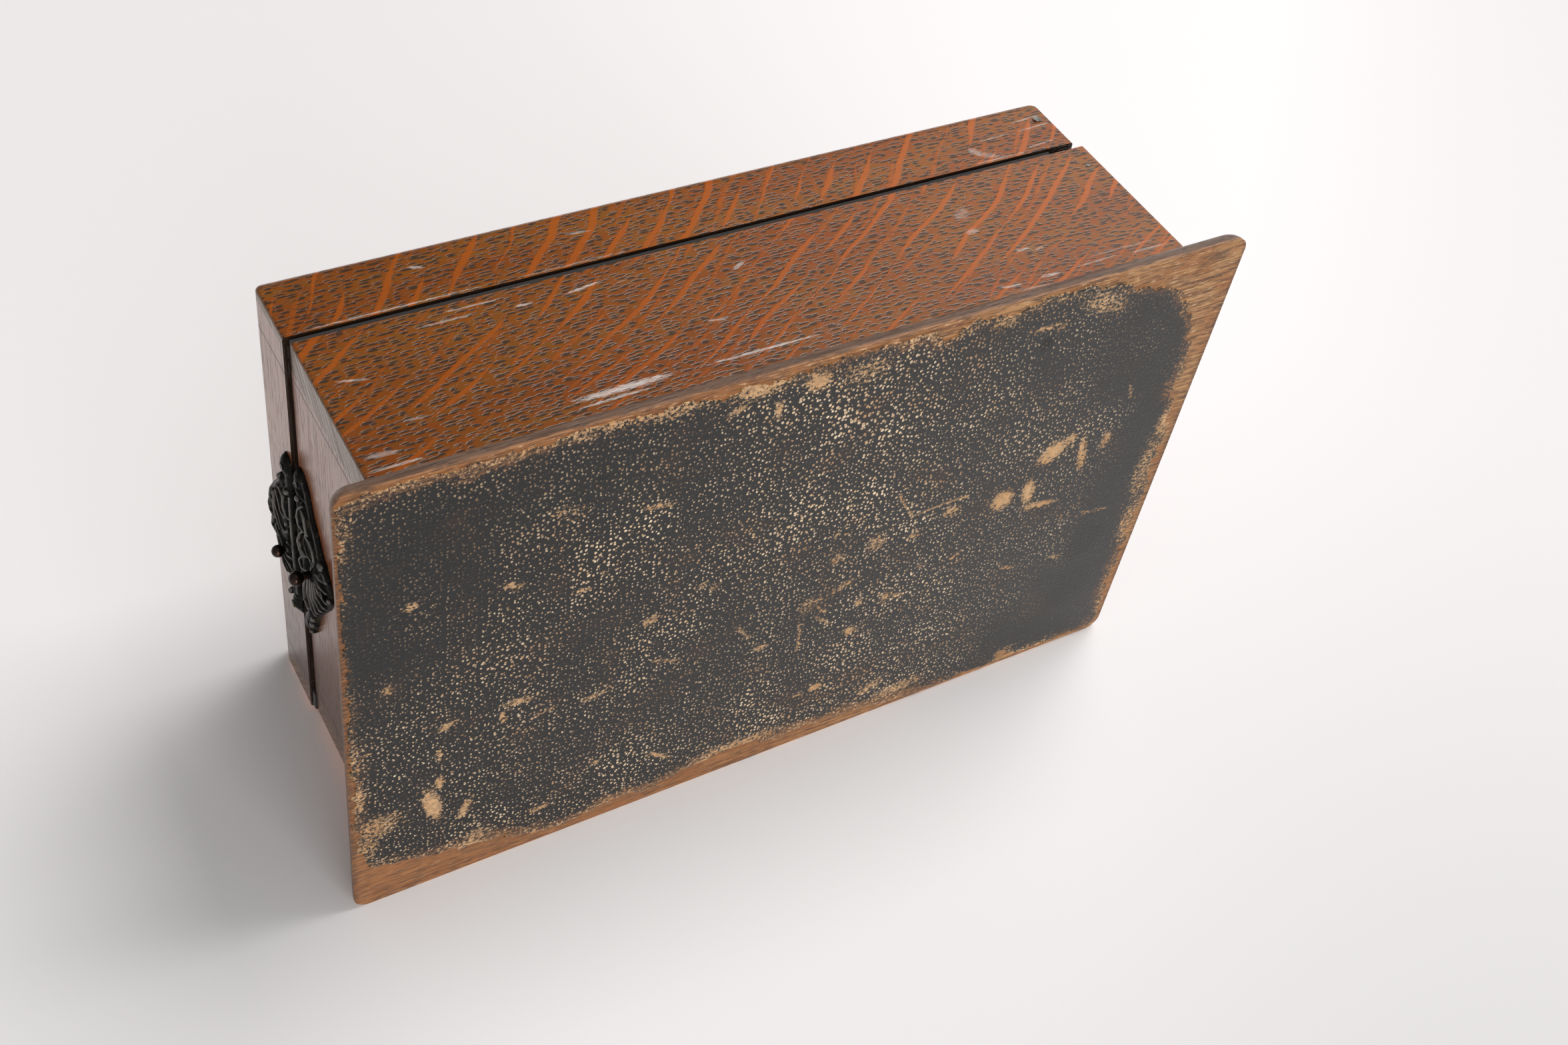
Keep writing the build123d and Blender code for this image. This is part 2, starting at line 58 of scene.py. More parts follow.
class Graph:
    """Small helper to wire a material's node tree."""

    def __init__(self, name):
        self.mat = bpy.data.materials.new(name)
        self.mat.use_nodes = True
        self.tree = self.mat.node_tree
        self.tree.nodes.clear()
        self.out = self.new("ShaderNodeOutputMaterial")
        coord = self.new("ShaderNodeTexCoord")
        self.normal = coord.outputs["Normal"]
        scaled = self.new("ShaderNodeVectorMath", operation="SCALE")
        scaled.inputs["Scale"].default_value = 1000.0
        self.tree.links.new(coord.outputs["Object"], scaled.inputs[0])
        self.mm = scaled.outputs[0]
        self.x, self.y, self.z = self.split(self.mm)

    def new(self, kind, **props):
        node = self.tree.nodes.new(kind)
        for key, value in props.items():
            setattr(node, key, value)
        return node

    def put(self, value, socket):
        if isinstance(value, bpy.types.NodeSocket):
            self.tree.links.new(value, socket)
        else:
            socket.default_value = value

    def split(self, vec):
        n = self.new("ShaderNodeSeparateXYZ")
        self.put(vec, n.inputs[0])
        return n.outputs[0], n.outputs[1], n.outputs[2]

    def vec(self, x=0.0, y=0.0, z=0.0):
        n = self.new("ShaderNodeCombineXYZ")
        for i, v in enumerate((x, y, z)):
            self.put(v, n.inputs[i])
        return n.outputs[0]

    def m(self, op, a, b=0.0, c=0.0, clamp=False):
        n = self.new("ShaderNodeMath", operation=op, use_clamp=clamp)
        for i, v in enumerate((a, b, c)):
            self.put(v, n.inputs[i])
        return n.outputs[0]

    def add(self, a, b):
        return self.m("ADD", a, b)

    def sub(self, a, b):
        return self.m("SUBTRACT", a, b)

    def mul(self, a, b):
        return self.m("MULTIPLY", a, b)

    def mx(self, a, b):
        return self.m("MAXIMUM", a, b)

    def abs(self, a):
        return self.m("ABSOLUTE", a)

    def field(self, name):
        """A mesh's own named value."""
        return self.new("ShaderNodeAttribute", attribute_name=name).outputs["Fac"]

    def inv(self, a):
        return self.m("SUBTRACT", 1.0, a, clamp=True)

    def step(self, v, lo, hi, to_lo=0.0, to_hi=1.0):
        """Smooth step of v from lo to hi."""
        n = self.new("ShaderNodeMapRange", interpolation_type="SMOOTHSTEP")
        for i, val in enumerate((v, lo, hi, to_lo, to_hi)):
            self.put(val, n.inputs[i])
        return n.outputs[0]

    def noise(self, vec, scale=1.0, detail=2.0, rough=0.5):
        n = self.new("ShaderNodeTexNoise")
        self.put(vec, n.inputs["Vector"])
        n.inputs["Scale"].default_value = scale
        n.inputs["Detail"].default_value = detail
        n.inputs["Roughness"].default_value = rough
        return n.outputs[0]

    def voronoi(self, vec, scale, randomness):
        """Flat cells."""
        n = self.new("ShaderNodeTexVoronoi", voronoi_dimensions="2D")
        self.put(vec, n.inputs["Vector"])
        n.inputs["Scale"].default_value = scale
        n.inputs["Randomness"].default_value = randomness
        return n

    def mix(self, fac, a, b):
        """Mix two colours."""
        n = self.new("ShaderNodeMix", data_type="RGBA")
        self.put(fac, n.inputs[0])
        self.put(a, n.inputs[6])
        self.put(b, n.inputs[7])
        return n.outputs[2]

    def mixf(self, fac, a, b):
        n = self.new("ShaderNodeMix", data_type="FLOAT")
        self.put(fac, n.inputs[0])
        self.put(a, n.inputs[2])
        self.put(b, n.inputs[3])
        return n.outputs[0]

    def warp(self, vec, amount, scale):
        """Shift a vector by noise."""
        n = self.new("ShaderNodeTexNoise")
        self.put(vec, n.inputs["Vector"])
        n.inputs["Scale"].default_value = scale
        n.inputs["Detail"].default_value = 1.0
        centred = self.new("ShaderNodeVectorMath", operation="SUBTRACT")
        self.put(n.outputs["Color"], centred.inputs[0])
        centred.inputs[1].default_value = (0.5, 0.5, 0.5)
        out = self.new("ShaderNodeVectorMath", operation="MULTIPLY_ADD")
        self.put(centred.outputs[0], out.inputs[0])
        out.inputs[1].default_value = (amount, amount, amount)
        self.put(vec, out.inputs[2])
        return out.outputs[0]

    def bump(self, height, distance, strength):
        n = self.new("ShaderNodeBump")
        n.inputs["Strength"].default_value = strength
        n.inputs["Distance"].default_value = distance
        self.put(height, n.inputs["Height"])
        return n.outputs[0]

    def finish(self, color, roughness, normal=None, metallic=0.0, **constants):
        n = self.new("ShaderNodeBsdfPrincipled")
        self.put(color, n.inputs["Base Color"])
        self.put(roughness, n.inputs["Roughness"])
        self.put(metallic, n.inputs["Metallic"])
        if normal is not None:
            self.put(normal, n.inputs["Normal"])
        for key, value in constants.items():
            n.inputs[key].default_value = value
        self.tree.links.new(n.outputs[0], self.out.inputs[0])
        return self.mat


def scratch_mask(g, a, b, mark, streaks):
    """A worn streak (start, end, half width, strength) in the (a, b) plane, in mm, broken by noise."""
    p, q, width, strength = mark
    dx, dy = q[0] - p[0], q[1] - p[1]
    length = math.hypot(dx, dy)
    ux, uy = dx / length, dy / length
    pa, pb = g.sub(a, p[0]), g.sub(b, p[1])
    along = g.mul(g.add(g.mul(pa, ux), g.mul(pb, uy)), 2.0 / length)
    across = g.mul(g.abs(g.sub(g.mul(pb, ux), g.mul(pa, uy))), 1.0 / width)
    ends = g.m("POWER", g.abs(g.sub(along, 1.0)), 3.0)
    shape = g.sub(g.sub(1.0, g.mul(across, across)), ends)
    return g.mul(g.step(g.add(g.mul(shape, 0.55), streaks), 0.45, 0.75), strength)


# ---------------------------------------------------------------- quarter-sawn oak
def dashes(g, s, t, cell_s, cell_t, half_s, half_t, keep=1.0):
    """Short dark pore dashes that run along s."""
    jog = g.noise(g.vec(g.mul(s, 0.06), g.mul(t, 0.25), 3.0), 1.0, 2.0)
    tt = g.add(t, g.mul(jog, 0.9))
    grid = g.vec(g.mul(s, 1.0 / cell_s), g.mul(tt, 1.0 / cell_t), 0.0)
    v = g.voronoi(grid, 1.0, 0.85)
    px, py, _ = g.split(v.outputs["Position"])
    gx, gy, _ = g.split(grid)
    r1, r2, r3 = g.split(v.outputs["Color"])
    ds = g.mul(g.sub(gx, px), cell_s / half_s)
    dt = g.mul(g.sub(gy, py), cell_t / half_t)
    ds = g.m("DIVIDE", ds, g.add(0.6, g.mul(r1, 0.75)))
    dt = g.m("DIVIDE", dt, g.add(0.65, g.mul(r2, 0.7)))
    rough = g.noise(g.vec(g.mul(s, 1.3), g.mul(t, 5.0), 0.0), 1.0, 1.0)
    d = g.add(g.add(g.mul(ds, ds), g.abs(dt)), g.mul(g.sub(rough, 0.5), 0.3))
    mask = g.step(d, 0.6, 1.15, 1.0, 0.0)
    if keep < 1.0:
        mask = g.mul(mask, g.step(r3, keep - 0.02, keep + 0.02, 1.0, 0.0))
    return mask


def flecks(g, s, t, period, width, seed):
    """Ray flecks: slanting ribbons, steeper higher up, each one broken into long lenses."""
    low = g.m("MINIMUM", t, 75.0)
    lean = g.sub(g.mul(low, 2.25), g.mul(g.mul(low, low), 0.010))
    lean = g.add(lean, g.mul(g.sub(t, low), 0.75))
    sway = g.noise(g.vec(g.mul(s, 0.012), g.mul(t, 0.03), seed), 1.0, 2.0)
    w = g.add(g.mul(g.sub(s, lean), 1.0 / period), g.mul(g.sub(sway, 0.5), 1.5))
    k = g.m("FLOOR", w)
    shift = g.noise(g.vec(g.mul(k, 3.17), seed, 0.0), 1.0, 0.0)
    off = g.abs(g.sub(g.m("FRACT", w), g.mixf(shift, 0.15, 0.85)))
    alive = g.noise(g.vec(g.mul(k, 5.31), g.mul(t, 0.055), seed + 8.0), 1.0, 0.5)
    edge = g.noise(g.vec(g.mul(s, 0.55), g.mul(t, 2.1), 5.0), 1.0, 2.0)
    reach = g.mul(g.step(alive, 0.40, 0.62), width / period)
    off = g.add(off, g.mul(g.sub(edge, 0.5), 1.1 * width / period))
    return g.step(g.sub(off, reach), -0.45 * width / period, 0.15 * width / period, 1.0, 0.0)


def oak_colour(g, s, t, seed):
    """Colour, pore mask and fleck mask of quarter-sawn oak with the grain along s."""
    pores = dashes(g, s, t, 3.4, 1.15, 1.65, 0.36)
    fine = dashes(g, g.add(s, 41.0), g.add(t, 17.0), 2.6, 0.8, 0.95, 0.15, 0.45)
    fleck = g.mx(flecks(g, s, t, 10.5, 1.35, seed + 11.0), g.mul(flecks(g, s, t, 14.0, 1.0, seed + 4.0), 0.6))
    # Ground: olive tan beside the pores, redder patches elsewhere.
    streak = g.noise(g.vec(g.mul(s, 0.22), g.mul(t, 1.2), 2.0 + seed), 1.0, 3.0, 0.6)
    broad = g.noise(g.vec(g.mul(s, 0.02), g.mul(t, 0.07), 31.0 + seed), 1.0, 2.0)
    ground = g.mix(g.step(streak, 0.36, 0.64), lin(134, 88, 38), lin(150, 80, 31))
    ground = g.mix(g.step(broad, 0.35, 0.65), ground, g.mix(0.5, ground, lin(132, 62, 26)))
    fibre = g.noise(g.vec(g.mul(s, 0.5), g.mul(t, 7.0), 1.0), 1.0, 2.0)
    ground = g.mix(g.mul(g.step(fibre, 0.5, 0.75), 0.3), ground, lin(96, 62, 32))
    colour = g.mix(g.mul(fleck, 0.68), ground, g.mix(streak, lin(176, 88, 32), lin(192, 100, 38)))
    dark = g.mul(pores, g.sub(1.0, g.mul(fleck, 0.95)))
    dark = g.mx(dark, g.mul(fine, g.sub(0.5, g.mul(fleck, 0.48))))
    colour = g.mix(g.mul(dark, 0.88), colour, lin(50, 40, 29))
    return colour, dark, fleck


def end_grain(g, a, b):
    """Colour of cut ends: dark dots in rows with pale rays across them."""
    dots = g.voronoi(g.vec(g.mul(a, 1.8), g.mul(b, 3.2), 0.0), 1.0, 0.9).outputs[0]
    rays = g.noise(g.vec(g.mul(a, 0.15), g.mul(b, 2.2), 9.0), 1.0, 2.0)
    col = g.mix(g.step(rays, 0.4, 0.65), lin(104, 78, 58), lin(132, 100, 76))
    return g.mix(g.mul(g.step(dots, 0.10, 0.28, 1.0, 0.0), 0.6), col, lin(48, 34, 26))


def wear_white(g, a, b, marks, seed):
    """Pale scuffs, broken up by noise stretched along the grain."""
    rag = g.noise(g.vec(g.mul(a, 0.42), g.mul(b, 4.6), seed), 1.0, 3.0, 0.7)
    streaks = g.mul(g.sub(rag, 0.38), 1.7)
    total = None
    for mark in marks:
        hit = scratch_mask(g, a, b, mark, streaks)
        total = hit if total is None else g.mx(total, hit)
    return total


def joint_shade_faces(g, nz):
    """The faces where the lid meets the body, darkened as painted shade in the joint."""
    level = g.step(g.abs(nz), 0.75, 0.92)
    return g.mul(level, g.step(g.abs(g.sub(g.z, JOINT_LEVEL)), 2.6, 3.2, 1.0, 0.0))


def oak_side_material(name, sign, marks, seed):
    """Long panels of the body and lid. The grain runs along Y."""
    g = Graph(name)
    t = g.add(g.sub(g.z, g.mul(g.x, sign)), 70.0)
    colour, dark, fleck = oak_colour(g, g.y, t, seed)
    _, ny, nz = g.split(g.normal)
    ny = g.abs(ny)
    # Painted shade: the panel's colour darkens towards its -Y end.
    painted_shade = g.new("ShaderNodeVectorMath", operation="SCALE")
    g.put(colour, painted_shade.inputs[0])
    g.put(g.step(g.y, -105.0, 105.0, 0.74, 1.0), painted_shade.inputs["Scale"])
    colour = g.mix(g.step(ny, 0.6, 0.8), painted_shade.outputs[0], end_grain(g, g.x, g.z))
    # Painted shade on the faces inside the lid and body joint.
    colour = g.mix(joint_shade_faces(g, nz), colour, lin(46, 30, 20))
    if marks:
        white = wear_white(g, g.y, g.z, marks, seed)
        colour = g.mix(g.mul(white, 0.8), colour, lin(210, 202, 196))
    tiny = g.step(g.noise(g.vec(g.mul(g.y, 0.9), g.mul(t, 2.4), 5.0), 1.0, 2.0), 0.76, 0.79)
    colour = g.mix(g.mul(tiny, 0.5), colour, lin(200, 190, 180))
    rub = g.noise(g.mm, 0.6, 3.0, 0.6)
    rough = g.add(g.mixf(fleck, 0.20, 0.17), g.mul(dark, 0.15))
    rough = g.add(rough, g.mul(g.sub(rub, 0.5), 0.12))
    height = g.sub(g.mul(fleck, 0.12), dark)
    return g.finish(colour, rough, g.bump(height, 0.00010, 0.45), **{"Specular IOR Level": 0.5})


def oak_end_material(name, seed):
    """Front and rear panels. The grain runs along X, straight and even, under a smooth polish."""
    g = Graph(name)
    s, t = g.x, g.add(g.z, g.y)
    nz = g.split(g.normal)[2]
    streak = g.noise(g.vec(g.mul(s, 0.05), g.mul(t, 1.1), seed), 1.0, 4.0, 0.6)
    colour = g.mix(g.step(streak, 0.35, 0.66), lin(124, 65, 30), lin(145, 83, 40))
    pores = dashes(g, s, t, 9.0, 1.5, 2.6, 0.13, 0.75)
    lines = g.step(g.noise(g.vec(g.mul(s, 0.03), g.mul(t, 2.4), seed + 4.0), 1.0, 2.0), 0.56, 0.64)
    dark = g.mx(pores, g.mul(lines, 0.6))
    seam = g.step(g.abs(g.sub(g.abs(s), CORNER_SEAM)), 0.15, 0.40, 1.0, 0.0)
    dark = g.mx(dark, seam)
    # Painted shade: the end faces darken towards -X, the side where the box lies on the floor.
    low = g.mul(g.step(s, -75.0, 20.0, 0.75, 0.0), g.step(g.abs(g.y), 100.0, 108.0))
    colour = g.mix(g.mx(low, g.mul(dark, 0.85)), colour, lin(38, 26, 20))
    # Painted shade on the faces inside the lid and body joint.
    colour = g.mix(joint_shade_faces(g, nz), colour, lin(46, 30, 20))
    rough = g.add(0.27, g.mul(dark, 0.35))
    wave = g.noise(g.vec(g.mul(s, 0.06), g.mul(t, 0.5), 8.0), 1.0, 2.0)
    normal = g.bump(g.add(g.mul(dark, -1.0), g.mul(wave, 0.5)), 0.00006, 0.5)
    polish = {"Specular IOR Level": 0.75, "Coat Weight": 0.25, "Coat Roughness": 0.14, "Coat IOR": 1.6}
    return g.finish(colour, rough, normal, **polish)


def base_material():
    """Base plate: thin old finish on the rim, bare and scratched wood underneath."""
    g = Graph("base_oak")
    s, t = g.y, g.add(g.x, g.z)
    _, ny, nz = g.split(g.normal)
    streak = g.noise(g.vec(g.mul(s, 0.05), g.mul(t, 1.2), 3.0), 1.0, 4.0, 0.65)
    rim = g.mix(g.step(streak, 0.35, 0.65), lin(82, 61, 48), lin(118, 92, 75))
    pores = dashes(g, s, t, 4.5, 1.1, 1.7, 0.16, 0.8)
    rim = g.mix(g.mul(pores, 0.7), rim, lin(50, 36, 28))
    warm = g.step(g.y, -30.0, 90.0, 1.0, 0.0)
    deep = g.mix(warm, lin(126, 82, 46), lin(112, 66, 30))
    light = g.mix(warm, lin(184, 140, 92), lin(160, 106, 56))
    bare = g.mix(g.step(streak, 0.38, 0.62), deep, light)
    blotch = g.noise(g.mm, 0.05, 3.0, 0.6)
    bare = g.mix(g.mul(g.step(blotch, 0.42, 0.62), 0.7), bare, lin(146, 92, 46))
    grime = g.step(g.noise(g.vec(g.mul(s, 0.10), g.mul(t, 0.5), 21.0), 1.0, 4.0, 0.7), 0.50, 0.66)
    bare = g.mix(g.mul(grime, g.step(g.y, -60.0, 110.0, 0.70, 0.85)), bare, lin(92, 66, 46))
    pale = g.step(g.noise(g.vec(g.mul(s, 0.25), g.mul(t, 1.6), 12.0), 1.0, 3.0, 0.7), 0.56, 0.66)
    bare = g.mix(g.mul(pale, g.step(g.x, 30.0, 60.0, 0.25, 0.7)), bare, lin(222, 182, 142))
    bare = g.mix(g.mul(pores, 0.75), bare, lin(74, 50, 34))
    under = g.step(nz, -0.75, -0.45, 1.0, 0.0)
    at_end = g.step(g.abs(ny), 0.45, 0.75)
    ticks = g.step(g.noise(g.vec(g.mul(g.x, 2.4), g.mul(g.z, 0.6), 2.0), 1.0, 2.0), 0.52, 0.62)
    rim_end = g.mix(g.mul(ticks, 0.8), lin(118, 80, 52), lin(40, 30, 24))
    colour = g.mix(at_end, rim, rim_end)
    sawn = g.mul(g.step(g.abs(g.y), 123.2, 124.8), g.add(0.35, g.mul(ticks, 0.65)))
    bare = g.mix(g.mul(sawn, 0.85), bare, lin(58, 40, 30))
    colour = g.mix(under, colour, bare)
    # A paler line along the arris where the underside meets the rim, broken by scratches: a painted
    # highlight.
    arris_highlight = g.mul(g.step(g.z, 0.35, 1.6, 1.0, 0.0), g.mul(g.step(nz, -0.9, -0.2), g.inv(at_end)))
    scratch = g.noise(g.vec(g.mul(s, 0.2), g.mul(t, 0.9), 6.0), 1.0, 3.0, 0.7)
    colour = g.mix(g.mul(arris_highlight, g.step(scratch, 0.35, 0.6)), colour, lin(170, 120, 82))
    rough = g.mixf(under, 0.42, 0.62)
    height = g.sub(g.mul(scratch, 0.5), pores)
    return g.finish(colour, rough, g.bump(height, 0.00015, 0.6), **{"Specular IOR Level": 0.5})


# ---------------------------------------------------------------- other materials
def cloth_material():
    """Black pebbled leathercloth, worn through to its tan backing on the grain tops and in patches."""
    g = Graph("leathercloth")
    a, b = g.y, g.x
    wear = g.field("wear")
    scuff = g.field("scuff")
    bright = g.field("bright")
    stain = g.field("stain")
    grid = g.warp(g.vec(a, g.mul(b, 0.92), 0.0), 0.9, 0.3)
    cell = g.voronoi(grid, 0.78, 0.95)
    dist = cell.outputs["Distance"]
    r1, r2, r3 = g.split(cell.outputs["Color"])
    blur = g.noise(g.mm, 2.6, 2.0, 0.6)
    rag = g.noise(g.vec(g.mul(a, 0.8), g.mul(b, 1.15), 4.0), 1.0, 5.0, 0.85)
    worn = g.step(g.add(scuff, g.mul(g.sub(rag, 0.5), 4.4)), 0.50, 0.66)
    d = g.add(dist, g.mul(g.sub(blur, 0.5), 0.30))
    radius = g.add(g.mul(wear, g.add(0.30, g.mul(r1, 1.0))), g.mul(worn, 0.72))
    dot = g.step(g.sub(d, radius), -0.05, 0.05, 1.0, 0.0)
    bare = g.mul(dot, g.step(radius, 0.03, 0.12))
    black = g.mix(g.noise(g.mm, 0.07, 3.0, 0.6), lin(17, 16, 15), lin(28, 27, 26))
    # Painted light: the black ground turns greyer towards +Y, standing in for sheen from the light on that
    # side.
    black = g.mix(g.step(a, -125.0, 120.0), black, lin(50, 49, 48))
    brown = g.noise(g.vec(g.mul(a, 0.06), g.mul(b, 0.06), 17.0), 1.0, 3.0)
    black = g.mix(g.mul(g.step(brown, 0.52, 0.75), 0.3), black, lin(62, 46, 36))
    edge = g.field("edge")
    black = g.mix(g.step(g.add(edge, g.mul(g.sub(rag, 0.5), 2.6)), 0.62, 0.92), black, lin(116, 80, 50))
    tan = g.mix(r2, lin(226, 190, 146), lin(252, 230, 198))
    tan = g.mix(g.mul(g.step(g.add(brown, g.mul(r3, 0.3)), 0.62, 0.85), 0.7), tan, lin(160, 112, 72))
    tan = g.mix(g.mul(edge, g.step(rag, 0.35, 0.62, 1.0, 0.0)), tan, lin(158, 110, 72))
    tan = g.mix(g.mul(worn, 0.8), tan, lin(204, 158, 110))
    halo = g.step(g.sub(d, radius), -0.02, 0.12, 1.0, 0.0)
    colour = g.mix(g.mul(g.mul(halo, g.step(radius, 0.03, 0.1)), 0.35), black, lin(100, 74, 54))
    strength = g.mul(g.mixf(r3, 0.6, 1.0), g.mixf(g.mx(bright, worn), 0.26, 1.0))
    colour = g.mix(g.mul(bare, strength), colour, tan)
    colour = g.mix(g.mul(stain, g.add(0.35, rag)), colour, lin(18, 17, 17))
    creases = g.noise(g.vec(g.mul(a, 0.05), g.mul(b, 0.16), 13.0), 1.0, 2.0)
    crease = g.step(g.abs(g.sub(creases, 0.5)), 0.0, 0.008, 1.0, 0.0)
    crease = g.mul(crease, g.step(a, 60.0, 95.0))
    fine = g.noise(g.mm, 3.0, 2.0, 0.6)
    height = g.sub(g.mul(g.step(dist, 0.0, 0.5, 1.0, 0.0), 0.8), g.mul(bare, 0.45))
    height = g.sub(g.add(height, g.mul(fine, 0.25)), g.mul(crease, 0.8))
    rough = g.mixf(bare, 0.46, 0.9)
    return g.finish(colour, rough, g.bump(height, 0.00010, 0.9), **{"Specular IOR Level": 0.33})


def felt_material(name, dark, pale):
    g = Graph(name)
    fuzz = g.noise(g.mm, 4.0, 3.0, 0.7)
    clump = g.noise(g.mm, 0.4, 2.0)
    colour = g.mix(g.mul(fuzz, g.add(clump, 0.2)), dark, pale)
    return g.finish(colour, 0.95, g.bump(fuzz, 0.0002, 0.8), **{"Sheen Weight": 0.3})


def liner_material():
    g = Graph("liner_black")
    t = g.add(g.x, g.y)
    grain = g.noise(g.vec(g.mul(t, 0.06), g.mul(g.z, 1.4), 1.0), 1.0, 3.0)
    colour = g.mix(grain, lin(28, 26, 25), lin(52, 46, 42))
    return g.finish(colour, 0.7, g.bump(grain, 0.0001, 0.5))


def cast_material():
    """Blackened cast metal, glossy black, with a green-brown bloom in the hollows and worn ridges."""
    g = Graph("cast_black")
    high = g.field("high")
    blotch = g.noise(g.mm, 0.45, 3.0, 0.6)
    colour = g.mix(g.step(blotch, 0.4, 0.7), lin(17, 16, 15), lin(27, 25, 23))
    bloom = g.mul(g.step(blotch, 0.55, 0.68), g.step(high, 0.25, 0.6, 1.0, 0.0))
    colour = g.mix(g.mul(bloom, 0.6), colour, lin(84, 78, 44))
    ridge = g.step(high, 0.66, 1.0)
    colour = g.mix(ridge, colour, lin(108, 104, 100))
    pit = g.noise(g.mm, 3.5, 3.0, 0.6)
    rough = g.add(g.mixf(ridge, 0.34, 0.16), g.mul(g.sub(pit, 0.5), 0.10))
    rough = g.add(rough, g.mul(bloom, 0.3))
    normal = g.bump(pit, 0.00003, 0.5)
    return g.finish(colour, rough, normal, g.mul(ridge, 0.9), **{"Specular IOR Level": 0.07})


def ball_material():
    """The two balls: dark, smooth and shiny with a reddish cast."""
    g = Graph("cast_ball")
    blotch = g.noise(g.mm, 0.8, 3.0, 0.6)
    colour = g.mix(g.step(blotch, 0.45, 0.7), lin(46, 38, 34), lin(84, 58, 48))
    return g.finish(colour, g.add(0.16, g.mul(blotch, 0.12)), metallic=0.85)


def metal_material(name, low, high, rough):
    g = Graph(name)
    tarnish = g.noise(g.mm, 0.5, 4.0, 0.6)
    scratch = g.noise(g.vec(g.mul(g.x, 0.4), g.mul(g.y, 6.0), g.mul(g.z, 6.0)), 1.0, 2.0)
    colour = g.mix(g.step(tarnish, 0.35, 0.7), low, high)
    r = g.add(rough, g.mul(g.sub(scratch, 0.5), 0.2))
    return g.finish(colour, r, g.bump(scratch, 0.00003, 0.4), metallic=1.0)


# Pale scuffs on the right-hand side, as (start, end, half width, strength) in (y, z) millimetres.
BODY_SCUFFS = [
    ((-64, 17.5), (-32, 17.9), 1.5, 1.0), ((-63, 15.0), (-40, 15.6), 0.6, 0.8),
    ((-48, 52.3), (-36, 53.9), 0.6, 0.9), ((-80, 56.6), (-60, 56.3), 0.5, 0.5),
    ((-86, 53.6), (-68, 53.5), 0.5, 0.5), ((-61, 52.6), (-55, 52.3), 0.6, 0.7),
    ((-114, 13.7), (-96, 13.9), 0.6, 0.6), ((-112, 18.5), (-102, 17.6), 1.2, 0.45),
    ((-109, 43.4), (-100, 41.2), 0.6, 0.6), ((69.5, 26.6), (75, 26.6), 0.8, 0.6),
    ((75, 25.2), (79, 26.0), 0.6, 0.5), ((-20, 31.6), (-13, 30.3), 0.5, 0.6),
    ((57, 15.6), (65, 15.0), 0.6, 0.7), ((70, 15.6), (77, 15.2), 0.8, 0.8),
    ((80, 15.6), (98, 15.8), 0.45, 0.45), ((60, 13.1), (73, 12.4), 0.45, 0.5),
    ((98, 15.2), (114, 14.8), 0.5, 0.45), ((61, 37.6), (66, 37.8), 1.4, 0.45),
    ((84, 17.9), (112, 17.6), 0.4, 0.3), ((-30, 17.6), (9, 17.2), 0.6, 0.8),
    ((-4, 45.8), (1, 48.6), 0.9, 0.6), ((62, 43.0), (68, 47.0), 2.6, 0.25),
    ((-100, 26.0), (-92, 25.4), 0.7, 0.3), ((-34, 52.0), (-30, 52.0), 0.3, 0.3),
]
LID_SCUFFS = [
    ((-79, 74.8), (-74, 73.3), 0.8, 0.6), ((-38, 73.0), (-30, 72.3), 0.7, 0.5),
    ((82, 69.4), (86, 64.0), 2.0, 0.45), ((84, 66.0), (90, 62.6), 1.6, 0.35),
    ((100, 71.0), (114, 71.6), 0.5, 0.5), ((98, 63.4), (111, 64.6), 0.45, 0.45),
    ((86, 70.6), (99, 71.0), 0.4, 0.4), ((-115, 61.9), (-60, 62.2), 0.45, 0.6),
    ((-60, 62.0), (-20, 62.0), 0.3, 0.4), ((100, 74.6), (113, 76.0), 0.5, 0.5),
    ((78, 62.2), (100, 62.2), 0.4, 0.5),
]

felt = felt_material("felt_black", lin(16, 14, 13), lin(40, 33, 28))
steel = metal_material("steel", lin(120, 116, 112), lin(176, 172, 168), 0.34)
brass = metal_material("brass", lin(110, 84, 44), lin(168, 132, 70), 0.36)
cast = cast_material()
ball = ball_material()
liner = liner_material()
MATERIALS = {
    "body_side_right": oak_side_material("oak_body_right", 1.0, BODY_SCUFFS, 1.0),
    "body_side_left": oak_side_material("oak_body_left", -1.0, [], 5.0),
    "lid_side_right": oak_side_material("oak_lid_right", 1.0, LID_SCUFFS, 3.0),
    "lid_side_left": oak_side_material("oak_lid_left", -1.0, [], 9.0),
    "lid_top_panel": oak_side_material("oak_lid_top", 1.0, [], 6.0),
    "body_front": oak_end_material("oak_body_front", 2.0),
    "body_rear": oak_end_material("oak_body_rear", 14.0),
    "lid_front": oak_end_material("oak_lid_front", 7.0),
    "lid_rear": oak_end_material("oak_lid_rear", 19.0),
    "base_plate": base_material(),
    "release_button": ball,
    "lid_lift_knob": ball,
}
for node in NODES:
    if node.startswith("liner_"):
        MATERIALS[node] = liner
    elif node.startswith("rim_seal") or node in ("floor_pad", "lid_lining"):
        MATERIALS[node] = felt
    elif node in ("hinge_pin_left", "hinge_pin_right", "button_spring", "catch_bar", "keeper_fork"):
        MATERIALS[node] = steel
    elif node.startswith("hinge") or node == "catch_cover_plate":
        MATERIALS[node] = brass
    elif node.startswith("clasp"):
        MATERIALS[node] = cast
    elif node not in MATERIALS:
        MATERIALS[node] = steel
for node, obj in NODES.items():
    for used in obj.material_slots:
        used.material = MATERIALS[node]
    if not obj.material_slots:
        obj.data.materials.append(MATERIALS[node])

# The return spring sits between the catch bar and the cover plate, where the button squeezes it as it goes
# in. Here it is a rigid copy of its mesh, fixed to the body.
coil = bpy.data.objects.new("return_spring", NODES["button_spring"].data.copy())
bpy.context.collection.objects.link(coil)
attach(coil, "body")
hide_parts("button_spring")
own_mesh(coil)


